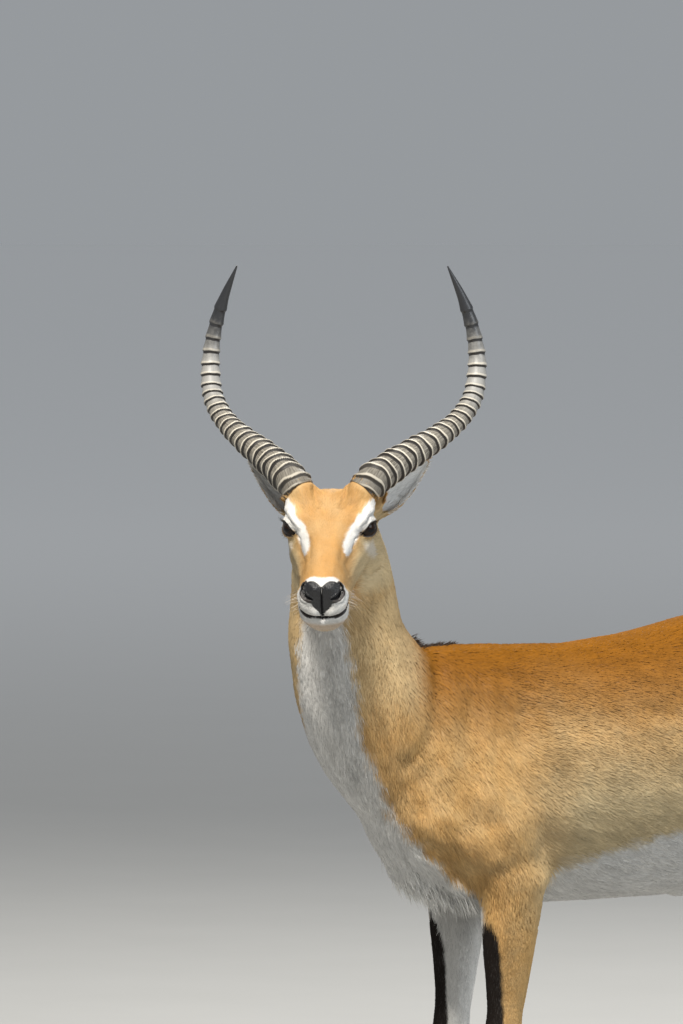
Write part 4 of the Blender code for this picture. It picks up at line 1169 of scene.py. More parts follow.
@dataclass
class Hide:
    """The one skin over head, neck, trunk, limbs, tail and ears, inside the solids by the coat's depth."""

    voxel: float = 0.0058
    overlap: float = 0.0012  # each solid is grown by this, which closes the cuts between them
    mesh: Mesh | None = None

    def fused(self) -> Mesh:
        """The solids of the flesh as one closed mesh, with the eye sockets filled."""
        bm = bmesh.new()
        for name in FLESH:
            part = solid(name)
            part.normal_update()
            for vert in part.verts:
                vert.co += vert.normal * self.overlap
            bm.from_mesh(mesh_of(part))
        for lids in LIDS.values():
            bmesh.ops.create_uvsphere(
                bm, u_segments=32, v_segments=20, radius=lids.radius + 0.003,
                matrix=Matrix.Translation(lids.eye)
            )
        mesh = remeshed(mesh_of(bm), self.voxel)
        relax(mesh, 26)
        _, y, z = coordinates(mesh).T
        rump = eased(0.16, 0.26, y) * eased(0.74, 0.84, z) * eased(0.625, 0.59, y)
        groin = eased(0.16, 0.22, y) * eased(0.36, 0.31, y) * eased(0.67, 0.63, z) * eased(0.5, 0.54, z)
        f, _, u = HEAD.local(coordinates(mesh)).T
        nape = eased(-0.095, -0.108, f) * eased(-0.135, -0.105, u) * eased(0.0, -0.02, u)
        relax(mesh, 90, rump, (0.5,))
        relax(mesh, 60, nape, (0.5,))
        relax(mesh, 30, groin, (0.5,))
        return mesh

    @staticmethod
    def skin(mesh: Mesh) -> Surface:
        """The mesh as a surface that paths are laid on."""
        return Surface(coordinates(mesh), corners_of(mesh))

    @staticmethod
    def depth(points: Array) -> Array:
        """How deep the hide lies under the coat's outline."""
        z = points[:, 2]
        face = head_share(points)
        f = HEAD.local(points)[:, 0]
        body = 0.0045 + 0.0015 * eased(0.66, 0.58, z)
        legs = 0.0022
        depth = legs + (body - legs) * eased(0.46, 0.58, z)
        tail = (points[:, 1] > 0.6) & (z < 0.8)
        depth = np.where(tail, 0.0045 + 0.0055 * eased(0.63, 0.58, z), depth)
        on_face = 0.001 + 0.0022 * eased(0.02, -0.08, f)
        return Hide.overlap + depth * (1 - face) + on_face * face

    def refined(self, mesh: Mesh) -> Mesh:
        """Finer faces on the head, and the finest round the eyes, nose and mouth."""
        for level in range(3):
            bm = bmesh.new()
            bm.from_mesh(mesh)
            points = np.array([v.co for v in bm.verts])
            chosen = self.region(points, level)
            edges = [e for e in bm.edges if chosen[e.verts[0].index] and chosen[e.verts[1].index]]
            bmesh.ops.subdivide_edges(bm, edges=edges, cuts=1, use_grid_fill=True)
            mesh = mesh_of(bm)
            near = self.region(coordinates(mesh), level)
            relax(mesh, 3, near.astype(float))
        return mesh

    @staticmethod
    def region(points: Array, level: int) -> Array:
        """Which points are refined at each level."""
        f = HEAD.local(points)[:, 0]
        if level == 0:
            return (head_share(points) > 0.5) & (f > -0.12)
        eye = np.minimum(*(np.linalg.norm(points - lids.eye, axis=1) for lids in LIDS.values()))
        front = f > (0.1, 0.118)[level - 1]
        return (front & (head_share(points) > 0.5)) | (eye < (0.04, 0.0285)[level - 1])

    def sculpted(self, mesh: Mesh) -> None:
        """Muscles, folds, lids, nostrils and mouth."""
        points, normals = coordinates(mesh), directions(mesh)
        lift = np.zeros(len(points))
        skin = self.skin(mesh)
        BARE.lay_mouth(skin)
        for side in SIDES.values():
            for stroke in (*FACE_STROKES, MOUTH):
                lift += stroke.lift(points, HEAD.path(stroke.path, side), skin)
            for stroke in BODY_STROKES + RIBS:
                lift += stroke.lift(points, np.array(stroke.path) * (side, 1, 1), skin)
        for stroke in BROW_STROKES:
            lift += stroke.lift(points, HEAD.path(stroke.path), skin)
        for stroke in sinew_strokes():
            lift += stroke.lift(points, np.array(stroke.path), skin)
        lift += 0.001 * wavy(points, 9.0) * (1 - head_share(points)) * eased(0.5, 0.6, points[:, 2])
        points = points + normals * lift[:, None]
        for side in SIDES.values():
            gap, share = path_distance(points, skin.laid(HEAD.path(NOSTRIL, side)), 0.02)
            width = np.interp(share, (0.0, 0.25, 0.7, 1.0), (0.0016, 0.0034, 0.0036, 0.0014))
            sink = np.array(HEAD.axes @ Vector((-0.85, -side * 0.4, 0.1)).normalized())
            pit = eased(1.25, 0.45, gap / width) * 0.01
            points = points + pit[:, None] * sink
            points = (
                points
                + normals * (0.001 * np.exp(-(((gap - 2.1 * width) / 0.0016) ** 2)))[:, None]
                * (pit < 1e-4)[:, None]
            )
        for lids in LIDS.values():
            points = lids.shape(points)
        move_to(mesh, points)

    def with_ears(self, mesh: Mesh) -> Mesh:
        """Joins the ears' shells to the head."""
        obj = loose("hide", mesh)
        guests = []
        for ear in EARS.values():
            guests.append(loose("ear", ear.mesh()))
            union = obj.modifiers.new("join", "BOOLEAN")
            union.operation, union.solver, union.object = "UNION", "EXACT", guests[-1]
        made = evaluated(obj)
        for guest in guests:
            bpy.data.objects.remove(guest)
        return made

    def build(self) -> None:
        """Makes the hide's mesh, with its markings."""
        mesh = self.fused()
        points = coordinates(mesh)
        move_to(mesh, points - directions(mesh) * self.depth(points)[:, None])
        mesh = self.refined(mesh)
        self.sculpted(mesh)
        mesh = self.with_ears(mesh)
        bm = bmesh.new()
        bm.from_mesh(mesh)
        bmesh.ops.triangulate(bm, faces=[f for f in bm.faces if len(f.verts) > 4])
        bmesh.ops.delete(bm, geom=flaps(bm), context="FACES")
        self.mesh = mesh_of(bm)
        points, normals = coordinates(self.mesh), directions(self.mesh)
        skin = self.skin(self.mesh)
        MARKINGS.lay_on(skin)
        BARE.lay_on(skin)
        numbers = MARKINGS.masks(points, normals)
        numbers.update(ear_masks(points, normals, numbers))
        numbers["bare"] = BARE.share(points)
        numbers["furrow"] = BARE.furrow(points)
        way = lie(points, normals)
        numbers["backward"] = eased(0.4, 0.8, np.abs(way[:, 1]))
        carry(self.mesh, numbers)

    def dress(self, coat: CoatFinish) -> Object:
        """Links the hide as a piece that stands for all the flesh."""
        return linked("hide", self.mesh, coat.hide(), "coat", *FLESH, "ear_left", "ear_right")


class Bare:
    """The dark hairless skin of lids, tear ducts, nostrils and lips; the dark band along the mouth is also
    painted shade in its crease.
    """

    def __init__(self) -> None:
        self.lines: list[tuple[Array, float, float]] = []

    def lay_on(self, skin: Surface) -> None:
        """Lays the nostrils and the nose's groove on the skin, each with the reach of its bare edge."""
        self.groove = skin.laid(HEAD.path(PHILTRUM))
        for side in SIDES.values():
            self.lines.append((skin.laid(HEAD.path(NOSTRIL, side)), 0.0072, 0.0058))

    def lay_mouth(self, skin: Surface) -> None:
        """Lays the mouth half way down the groove that it is going to be. Its dark band stands for the lips'
        bare skin and for painted shade in the mouth's crease, wider towards the corners.
        """
        for side in SIDES.values():
            mouth = skin.sunk(HEAD.path(MOUTH.path, side), -MOUTH.height * 0.55)
            self.lines.append((mouth, 0.004, 0.0033))
            self.lines.append((mouth[len(mouth) // 3 :], 0.006, 0.0048))

    def furrow(self, points: Array) -> Array:
        """1 in the groove down the middle of the nose, which the hide's finish paints near black as shade."""
        return eased(0.0019, 0.0008, path_distance(points, self.groove, 0.003)[0])

    def share(self, points: Array) -> Array:
        """1 on bare skin and 0 on furred."""
        found = MARKINGS.tear.mask(points)
        for lids in LIDS.values():
            found = np.maximum(found, lids.bare(points))
        for line, far, near in self.lines:
            gap, _ = path_distance(points, line, far)
            found = np.maximum(found, eased(far, near, gap))
        return found


BARE = Bare()


def ear_masks(points: Array, normals: Array, numbers: dict[str, Array]) -> dict[str, Array]:
    """The ears' markings over the rest: tan backs and upper rims, pale hollows."""
    white, pale, face = numbers["white"].copy(), numbers["pale"].copy(), numbers["face"].copy()
    for ear in EARS.values():
        share, spoke = ear.across(points)
        on_ear = eased(0.12, 0.22, share)
        inside = on_ear * eased(0.15, -0.15, np.sum(normals * unit(spoke), 1))
        inside *= 1 - 0.9 * eased(0.006, 0.014, spoke @ np.array(ear.axes()[3]) * ear.upper())
        white = np.maximum(white * (1 - on_ear), inside)
        pale = np.maximum(pale * (1 - on_ear), on_ear * 0.25)
        face = np.maximum(face * (1 - on_ear), on_ear * 0.9)
    return {"white": white, "pale": pale, "face": face}


# ---- the lie of the coat


@dataclass(frozen=True)
class Drift:
    """The way that hair lies along a line of the body, and how far that counts."""

    start: Vector
    end: Vector
    way: Vector
    reach: float = 1.0


MIDDLE_ROWS = (  # start, end, way and reach along the middle line
    ((0, -0.3, 0.985), (0, 0.45, 1.03), (0, 1, 0), 1.0),
    ((0, -0.16, 0.55), (0, 0.3, 0.58), (0, 1, 0), 1.0),
    ((0, -0.5, 0.74), (0, -0.36, 0.59), (0, 0.45, -1), 1.2),
    ((0, 0.52, 1.0), (0, 0.64, 0.8), (0, 0.5, -1), 1.2),
    ((0.006, 0.645, 0.84), (0.006, 0.64, 0.44), (0, 0, -1), 0.6),
)
SIDE_ROWS = (  # the same on the left side
    ((0.08, -0.33, 0.94), (0.12, -0.23, 0.64), (0.1, 0.55, -1), 1.0),
    ((0.12, -0.12, 0.86), (0.13, 0.3, 0.86), (0, 1, -0.52), 1.2),
    ((0.14, -0.12, 0.68), (0.135, 0.26, 0.69), (0, 1, -0.45), 1.0),
    ((0.1, 0.33, 0.98), (0.1, 0.56, 0.9), (0, 1, -0.75), 1.0),
    ((0.12, 0.42, 0.84), (0.11, 0.48, 0.54), (0, 0.3, -1), 1.2),
    ((0.09, -0.22, 0.56), (0.085, -0.24, 0.03), (0, 0, -1), 1.0),
    ((0.09, 0.5, 0.52), (0.085, 0.52, 0.03), (0, 0, -1), 1.2),
)
FACE_ROWS = (  # the same in the head's frame
    ((0.155, 0.036, -0.03), (0.11, 0.038, -0.03), (-1, 0.25, -0.1), 0.8),
    ((0.09, 0.042, -0.045), (-0.06, 0.062, -0.055), (-0.8, 0.35, -0.3), 1.0),
    ((0.15, 0.036, -0.07), (0.05, 0.045, -0.085), (-1, 0, -0.25), 0.8),
    ((0.055, 0.03, 0.01), (0.035, 0.04, 0.01), (-0.8, 0.6, 0), 0.6),
    ((0.012, 0.014, 0.032), (-0.03, 0.034, 0.042), (-0.75, 0.5, 0.4), 0.8),
    ((-0.01, 0.072, 0.022), (-0.04, 0.068, 0.02), (-1, 0, 0.1), 0.5),
)


def drifts() -> list[Drift]:
    """The lie of the coat from the nose to the tail and the feet."""
    at = HEAD.place
    back = HEAD.axes @ Vector((-1, 0, 0))
    poll, chest = at(-0.085, 0, -0.03), Vector((0.005, -0.44, 0.82))
    made = [
        Drift(at(0.17, 0, -0.01), at(0.05, 0, 0.015), back, 0.8),
        Drift(at(0.15, 0, -0.1), at(0.0, 0, -0.105), back, 0.9),
        Drift(poll, chest, (chest - poll).normalized(), 1.5),
        Drift(at(-0.02, 0, -0.13), Vector((0.0, -0.52, 0.8)), Vector((0, 0.05, -1)), 1.2),
    ]
    made += [
        Drift(Vector(start), Vector(end), Vector(way), reach) for start, end, way, reach in MIDDLE_ROWS
    ]
    for side in SIDES.values():
        for start, end, way, reach in FACE_ROWS:
            first, last = HEAD.path((start, end), side)
            made.append(Drift(first, last, HEAD.axes @ (Vector(way) * Vector((1, side, 1))), reach))
        base, along, _, _ = EARS[side].axes()
        made.append(Drift(base + along * 0.01, base + along * 0.15, along, 0.75))
        for row in SIDE_ROWS:
            start, end, way = (Vector(place) * Vector((side, 1, 1)) for place in row[:3])
            made.append(Drift(start, end, way, row[3]))
    return made


DRIFTS = drifts()


def lie(points: Array, normals: Array) -> Array:
    """The direction in which the hair lies at each point of the hide."""
    total = np.zeros_like(points)
    for drift in DRIFTS:
        gap, _ = path_distance(points, np.array([drift.start, drift.end]))
        total += np.array(drift.way.normalized()) * (drift.reach / np.maximum(gap, 0.004))[:, None] ** 3.5
    total = unit(total)
    total = total - normals * (total * normals).sum(1, keepdims=True)
    bad = np.linalg.norm(total, axis=1) < 0.05
    total[bad] = np.cross(normals[bad], (1.0, 0.0, 0.0))
    way = unit(total)
    turn = (wavy(points, 7.0) * 0.16 + wavy(points + 0.3, 25.0) * 0.14)[:, None]
    return unit(way * np.cos(turn) + np.cross(normals, way) * np.sin(turn))


# ---- the coat


class Cut(Enum):
    """The coat's pieces."""

    HEAD = "coat_head"
    NECK = "coat_neck"
    SHOULDERS = "coat_shoulders"
    TRUNK_LEFT = "coat_trunk_left"
    TRUNK_RIGHT = "coat_trunk_right"
    RUMP_LEFT = "coat_rump_left"
    RUMP_RIGHT = "coat_rump_right"
    FORELEGS = "coat_forelegs"
    HINDLEGS = "coat_hindlegs"


def cut_of(points: Array) -> Array:
    """Which piece of the coat each point belongs to, as its number in Cut."""
    x, y, z = points.T
    names = list(Cut)
    found = np.where(x >= 0, names.index(Cut.RUMP_LEFT), names.index(Cut.RUMP_RIGHT))
    found[(y < 0.24) & (x >= 0)] = names.index(Cut.TRUNK_LEFT)
    found[(y < 0.24) & (x < 0)] = names.index(Cut.TRUNK_RIGHT)
    found[y < -0.16] = names.index(Cut.SHOULDERS)
    found[(y < -0.34) & (z > 0.8)] = names.index(Cut.NECK)
    found[(z < 0.52) & (y < 0.62)] = names.index(Cut.HINDLEGS)
    found[(z < 0.52) & (y < 0.1)] = names.index(Cut.FORELEGS)
    on_ear = np.max([ear.across(points)[0] for ear in EARS.values()], 0) > 0
    found[(head_share(points) > 0.5) | on_ear] = names.index(Cut.HEAD)
    return found


@dataclass
class Coat:
    """Flat slivers of hair over the hide: short on face and feet, longer on neck, belly and tail."""

    hide: Hide
    finish: CoatFinish
    most: int = 186000  # triangles to a piece
    layers: float = 2.6  # tufts over each point of the hide
    seed: int = 11

    def __post_init__(self) -> None:
        mesh = self.hide.mesh
        self.corners, self.loops = corners_of(mesh), corners_of(mesh, "loops")
        self.points, self.normals = coordinates(mesh), directions(mesh)
        self.ways = lie(self.points, self.normals)
        self.uv = self.unwrap()
        a, b, c = (self.points[self.corners[:, i]] for i in range(3))
        self.areas = np.linalg.norm(np.cross(b - a, c - a), axis=1) / 2
        self.centres = (a + b + c) / 3
        bare = np.maximum(BARE.share(self.centres), eased(0.0006, -0.0008, MARKINGS.nose_gap(self.centres)))
        length = self.length(self.centres)
        self.weights = (
            self.areas * (1 - eased(0.3, 0.6, bare))
            * self.open_air(self.centres) / (length * self.width(length))
        )
        self.cuts = cut_of(self.centres)
        self.material = self.finish.tufts()
        self.tree = BVHTree.FromPolygons(self.points.tolist(), self.corners.tolist())

    def unwrap(self) -> Array:
        """The hide's own unwrap, which places each tuft's patch of the coat's bake."""
        copy = loose("unwrap", self.hide.mesh.copy())
        bpy.context.view_layer.objects.active = copy
        copy.select_set(True)
        bpy.ops.object.mode_set(mode="EDIT")
        bpy.ops.mesh.select_all(action="SELECT")
        bpy.ops.uv.smart_project(angle_limit=math.radians(66), island_margin=0.002)
        bpy.ops.object.mode_set(mode="OBJECT")
        flat = read(copy.data.uv_layers.active.data, "uv", 2, np.float32)
        bpy.data.meshes.remove(copy.data)
        return flat

    @staticmethod
    def length(points: Array) -> Array:
        """How long the hair is at each point."""
        f, _, u = HEAD.local(points).T
        _, y, z = points.T
        face = head_share(points)
        on_face = 0.003 + 0.0022 * eased(0.165, 0.125, f) + 0.006 * eased(0.09, -0.06, f)
        on_face += 0.005 * eased(-0.06, -0.1, u) * eased(0.12, 0.05, f)
        body = 0.0145 + 0.005 * eased(0.66, 0.57, z) + 0.003 * eased(-0.3, -0.42, y)
        legs = 0.0075
        length = legs + (body - legs) * eased(0.44, 0.6, z)
        length = np.where((y > 0.6) & (z < 0.8), 0.018 + 0.014 * eased(0.66, 0.6, z), length)
        return length * (1 - face) + on_face * face

    @staticmethod
    def width(length: Array) -> Array:
        """How wide a tuft of some length is."""
        return 0.0008 + 0.07 * length

    def roots(self, cut: Cut, rng: np.random.Generator) -> tuple[Array, Array]:
        """Scatters the roots of one piece's tufts.

        Args:
            cut: The piece.
            rng: Where the chance comes from.

        Returns:
            The triangle of each root, and its three shares of the triangle's corners.
        """
        weight = self.weights * (self.cuts == list(Cut).index(cut))
        cover = weight.sum()
        count = int(min(self.most / 4, cover * self.layers))
        order = np.cumsum(weight) / cover
        steps = (np.arange(count) + rng.random(count)) / count
        chosen = np.minimum(np.searchsorted(order, steps), len(order) - 1)
        a, b = rng.random(count), rng.random(count)
        over = a + b > 1
        a[over], b[over] = 1 - a[over], 1 - b[over]
        return chosen, np.stack([1 - a - b, a, b], 1)

    @staticmethod
    def open_air(points: Array) -> Array:
        """0 under a horn and inside an eye socket, and 1 elsewhere."""
        found = np.ones(len(points))
        for side, lids in LIDS.items():
            _, _, reach, share = lids.angles(points)
            found *= 1.0 - (reach < lids.radius * 1.5) * (share < 1.16)
            horn = HORNS[side]
            place, _ = horn.line()
            base, up = np.array(place(horn.start)), np.array(horn.way())
            offset = points - base
            height = offset @ up
            radial = np.linalg.norm(offset - height[:, None] * up, axis=1)
            found *= 1.0 - (radial < 0.0255) * (np.abs(height) < 0.016)
        return found

    def build(self, cut: Cut) -> Object:
        """Makes one piece of the coat."""
        rng = np.random.default_rng(self.seed + list(Cut).index(cut))
        chosen, shares = self.roots(cut, rng)
        corner = self.corners[chosen]

        def blend(rows: Array) -> Array:
            """Each root's own value, from those at its triangle's corners."""
            return (rows[corner] * shares[:, :, None]).sum(1)

        root, normal, way = blend(self.points), unit(blend(self.normals)), unit(blend(self.ways))
        uv = (self.uv[self.loops[chosen]] * shares[:, :, None]).sum(1)
        count = len(root)
        turn = (rng.normal(0.0, 0.13, count))[:, None]
        way = unit(way * np.cos(turn) + np.cross(normal, way) * np.sin(turn))
        side = np.cross(way, normal)
        length = self.length(root) * rng.uniform(0.75, 1.2, count)
        width = self.width(length) * rng.uniform(0.8, 1.25, count)
        depth = Hide.depth(root) - Hide.overlap
        tip = root + way * length[:, None]
        rise = depth * rng.uniform(0.3, 0.85, count)
        find = self.tree.find_nearest
        for i, (x, y, z) in enumerate(tip.tolist()):
            place, out, _, _ = find((x, y, z))
            tip[i] = place + out * rise[i]
        ridge = root * 0.56 + tip * 0.44 + normal * (depth * rng.uniform(0.35, 0.6, count))[:, None]
        sink = normal * 0.0007
        points = np.stack(
            [root - side * width[:, None] / 2 - sink, root + side * width[:, None] / 2 - sink, ridge, tip],
            1
        )
        masks = MARKINGS.masks(root + rng.normal(0.0, 1.0, (count, 3)) * (length * 0.12)[:, None], normal)
        masks.update(ear_masks(root, normal, masks))
        masks.pop("nose")
        strand = np.clip(rng.normal(0.0, 0.13, count) + 0.1 + 0.8 * streaks(root, way), 0, 1)
        numbers = {name: np.repeat(values, 4) for name, values in masks.items()}
        numbers["strand"] = np.repeat(strand, 4)
        numbers["tip"] = np.tile((0.0, 0.0, 0.5, 1.0), count)
        faces = np.array(((0, 1, 2), (1, 3, 2), (3, 0, 2), (0, 3, 1)))
        patch = 0.003 * np.array(((-0.5, -0.3), (0.5, -0.3), (0.0, 0.2), (0.0, 0.7)))
        mesh = woven(points, faces, uv[:, None, :] + patch, numbers)
        lean = side * 0.38
        soft = np.stack([unit(normal - lean), unit(normal + lean), normal, unit(normal + way * 0.15)], 1)
        keep_soft(mesh, soft, faces, normal)
        return linked(cut.value, mesh, self.material, "coat")


def woven(points: Array, faces: Array, uv: Array, numbers: dict[str, Array]) -> Mesh:
    """Joins many like small shapes into one mesh.

    Args:
        points: For each shape, its vertices.
        faces: The triangles of one shape.
        uv: For each shape, a place on the bake's map for each vertex.
        numbers: What the vertices carry, by name.

    Returns:
        The mesh, with a UV map named OFBake.
    """
    count, each = points.shape[:2]
    corners = (np.arange(count)[:, None, None] * each + faces).reshape(-1)
    mesh = bpy.data.meshes.new("woven")
    mesh.vertices.add(count * each)
    mesh.vertices.foreach_set("co", points.astype(np.float32).ravel())
    mesh.loops.add(len(corners))
    mesh.loops.foreach_set("vertex_index", corners.astype(np.int32))
    mesh.polygons.add(len(corners) // 3)
    mesh.polygons.foreach_set("loop_start", np.arange(0, len(corners), 3, dtype=np.int32))
    mesh.update(calc_edges=True)
    mesh.polygons.foreach_set("use_smooth", np.ones(len(mesh.polygons), bool))
    layer = mesh.uv_layers.new(name="OFBake")
    layer.data.foreach_set("uv", uv.reshape(-1, 2)[corners].astype(np.float32).ravel())
    carry(mesh, numbers)
    return mesh


def keep_soft(mesh: Mesh, soft: Array, faces: Array, normal: Array) -> None:
    """Shades slivers like the coat they lie in: the tops turn with the hide, and the undersides face down."""
    corner = soft[:, faces.ravel(), :].reshape(len(soft), len(faces), 3, 3)
    corner[:, -1] = -normal[:, None, :]
    mesh.normals_split_custom_set(corner.reshape(-1, 3).tolist())


@dataclass
class Strands:
    """Hairs or locks, each a tapered three-sided tube that bends on its way."""

    root: Array
    way: Array
    length: Array
    width: Array
    bend: Array  # how far each tip is carried aside
    uv: Array  # each root's place on the bake's map
    numbers: dict[str, Array] = field(default_factory=dict)
    rows: int = 4

    def build(self) -> Mesh:
        """Makes the strands as one mesh."""
        count = len(self.root)
        upright = np.where(np.abs(self.way[:, 2:3]) < 0.9, (0.0, 0.0, 1.0), (1.0, 0.0, 0.0))
        across = unit(np.cross(self.way, upright))
        other = np.cross(self.way, across)
        points, tips = [], []
        for k in range(self.rows):
            t = k / self.rows
            centre = self.root + self.way * (self.length * t)[:, None] + self.bend * (t * t)
            size = (self.width / 2 * (1 - t) ** 0.7)[:, None]
            for a in (0.0, math.tau / 3, 2 * math.tau / 3):
                points.append(centre + size * (across * math.cos(a) + other * math.sin(a)))
                tips.append(t)
        points.append(self.root + self.way * self.length[:, None] + self.bend)
        tips.append(1.0)
        faces = [(0, 2, 1)]
        for k in range(self.rows - 1):
            for i in range(3):
                a, b = 3 * k + i, 3 * k + (i + 1) % 3
                faces += [(a, b, b + 3), (a, b + 3, a + 3)]
        last = 3 * (self.rows - 1)
        faces += [(last + i, last + (i + 1) % 3, last + 3) for i in range(3)]
        each = len(points)
        carried = {name: np.repeat(values, each) for name, values in self.numbers.items()}
        carried["tip"] = np.tile(tips, count)
        carried["strand"] = np.repeat(np.random.default_rng(5).random(count), each)
        patch = 0.003 * np.stack([np.tile((-0.4, 0.4, 0.0), self.rows + 1)[:each], np.array(tips)], 1)
        return woven(np.stack(points, 1), np.array(faces), self.uv[:, None, :] + patch, carried)


# ---- horns


@dataclass
class Horn:
    """A lyre-shaped horn of stacked rings, each a cone that widens towards the base and then steps in."""

    side: int
    base: Point = (-0.04, 0.0475, 0.035)
    line_rows: tuple[tuple[float, float, float, float], ...] = (  # outwards, backwards, upwards, radius
        (0.0, 0.0, 0.0, 0.0262),
        (0.014, 0.013, 0.018, 0.0262),
        (0.033, 0.036, 0.034, 0.0252),
        (0.062, 0.07, 0.055, 0.023),
        (0.1275, 0.136, 0.102, 0.0168),
        (0.157, 0.168, 0.144, 0.016),
        (0.1645, 0.186, 0.196, 0.0147),
        (0.16, 0.19, 0.246, 0.0118),
        (0.145, 0.185, 0.301, 0.009),
        (0.12, 0.173, 0.361, 0.0012),
    )
    start: float = 0.02  # the share of the line where the fur ends
    ring_numbers: tuple[float, ...] = (-2, 0, 10, 17, 19, 21, 23, 24)
    ring_shares: tuple[float, ...] = (0.0, 0.044, 0.394, 0.594, 0.666, 0.752, 0.849, 0.903)
    foot: float = 0.2  # a ring's steep side, as a share of the way between two rings
    ring_height: float = 0.15
    tilt: float = 0.34  # how far the rings climb towards the horn's outer side, in rings
    sides: int = 56
    steps: int = 460
    buried: float = 0.004

    @property
    def spread(self) -> float:
        """The left horn stands a little wider than the right one."""
        return 1.055 if self.side > 0 else 1.0

    def way(self) -> Vector:
        """The horn's first direction."""
        return (HEAD.left * self.side * 0.6 - HEAD.heading * 0.35 + Vector((0, 0, 0.72))).normalized()

    def line(self) -> tuple[Callable[[float], Vector], Callable[[float], float]]:
        """Functions from 0 at the base to 1 at the tip that give the horn's centre and its radius."""
        base = HEAD.place(self.base[0], self.side * self.base[1], self.base[2])
        rows = []
        for out, back, rise, radius in self.line_rows:
            place = (
                base + HEAD.left * self.side * out * self.spread - HEAD.heading * back
                + Vector((0, 0, rise))
            )
            rows.append((*place, radius))
        knots = [0.0]
        for a, b in zip(rows, rows[1:]):
            knots.append(knots[-1] + (Vector(b[:3]) - Vector(a[:3])).length)

        def place(t: float) -> Vector:
            """The centre."""
            return Vector(spline(knots, rows, min(max(t, 0.0), 1.0) * knots[-1])[:3])

        def radius(t: float) -> float:
            """The radius."""
            return spline(knots, rows, min(max(t, 0.0), 1.0) * knots[-1])[3]

        return place, radius

    def ring(self, t: float, a: Array) -> tuple[Array, Array, Array]:
        """The rings' form round the horn at one share of its length.

        Args:
            t: The share.
            a: The angles round the horn.

        Returns:
            The rings' height, and the strength of their pale lips, which are worn and carry a painted
            highlight, and of the painted shade under them.
        """
        number = float(np.interp(t, self.ring_shares, self.ring_numbers))
        rough = float(eased(0.7, 0.2, t))
        number = number - self.tilt * np.cos(a) * float(eased(0.66, 0.4, t))
        number = (
            number
            + (0.045 * np.sin(2 * a + 1.3 * number) + 0.03 * np.sin(5 * a + 2.7 * number)) * (0.4 + rough)
        )
        off = number - np.floor(number)
        last = number >= 23
        slope = np.clip(1 - off / (1 - self.foot), 0, 1) ** 1.6
        step = eased(1 - self.foot, 0.985, off) * ~last
        height = np.maximum(slope, step) * (number < 24) * (1 + 0.24 * np.sin(3 * a + 2.1 * number) * rough)
        # lip marks worn crests that also carry a painted highlight; under marks painted shade below each
        # step.
        lip = np.maximum(eased(0.26, 0.06, off), eased(0.92, 0.98, off) * ~last) * (number < 24)
        under = eased(0.66, 0.8, off) * eased(0.98, 0.91, off) * ~last
        return height, lip, under

    def build(self, finish: Material) -> Object:
        """Extrudes the horn step by step along its line."""
        place, radius = self.line()
        way, out = self.way(), HEAD.left * self.side
        bm = bmesh.new()
        ring = bmesh.ops.create_circle(bm, segments=self.sides, radius=1.0)["verts"]
        edges = bm.edges[:]
        rings = [ring]
        for _ in range(self.steps):
            made = bmesh.ops.extrude_edge_only(bm, edges=edges)["geom"]
            fresh = [g for g in made if isinstance(g, bmesh.types.BMEdge)]
            edges = [edge for edge in fresh if all(vert in made for vert in edge.verts)]
            rings.append([g for g in made if isinstance(g, bmesh.types.BMVert)])
        numbers = {name: [] for name in ("lip", "under", "share", "round_x", "round_y")}
        for k, loop in enumerate(rings):
            t = self.start + (0.9995 - self.start) * k / self.steps
            along = (place(t + 0.012) - place(t - 0.012)).normalized()
            along = along.lerp(way, max(0.0, 1 - (t - self.start) / 0.06)).normalized()
            cross = (out - along * out.dot(along)).normalized()
            front = along.cross(cross)
            angle = np.array([math.atan2(vert.co.y, vert.co.x) for vert in loop])
            height, lip, under = self.ring(t, angle)
            streak = 0.004 * np.sin(23 * angle + 3 * np.sin(5 * angle + 1.0)) * (1 - t)
            swell = self.ring_height * height * min(1.0, (t - self.start) / 0.01 + 0.3)
            size = radius(t) * (0.955 + swell + streak)
            centre = place(t) - way * self.buried * max(0.0, 1 - (t - self.start) / 0.03)
            for vert, a, reach in zip(loop, angle, size):
                vert.co = centre + cross * reach * math.cos(a) + front * reach * 1.05 * math.sin(a)
            numbers["lip"] += list(lip)
            numbers["under"] += list(under)
            numbers["share"] += [t] * len(loop)
            numbers["round_x"] += list(np.cos(angle))
            numbers["round_y"] += list(np.sin(angle))
        bmesh.ops.contextual_create(
            bm, geom=[e for e in bm.edges if e.is_boundary and e.verts[0] in rings[0]]
        )
        bmesh.ops.contextual_create(bm, geom=[e for e in bm.edges if e.is_boundary])
        bmesh.ops.recalc_face_normals(bm, faces=bm.faces)
        bm.verts.index_update()
        order = [vert.index for loop in rings for vert in loop]
        carried = {}
        for name, values in numbers.items():
            carried[name] = np.zeros(len(order))
            carried[name][order] = values
        mesh = mesh_of(bm)
        carry(mesh, carried)
        name = "left" if self.side > 0 else "right"
        return linked(f"horn_{name}_ringed", mesh, finish, "horn", f"horn_{name}")


HORNS = {side: Horn(side) for side in SIDES.values()}


# ---- longer hair


@dataclass(frozen=True)
class Tress:
    """One growth of longer hair: its roots and ways, what it looks like, and how long it is."""

    roots: Array
    ways: Array
    length: float
    width: float
    marks: dict[str, float]
    droop: float = 0.0  # how far the tips fall, as a share of the length


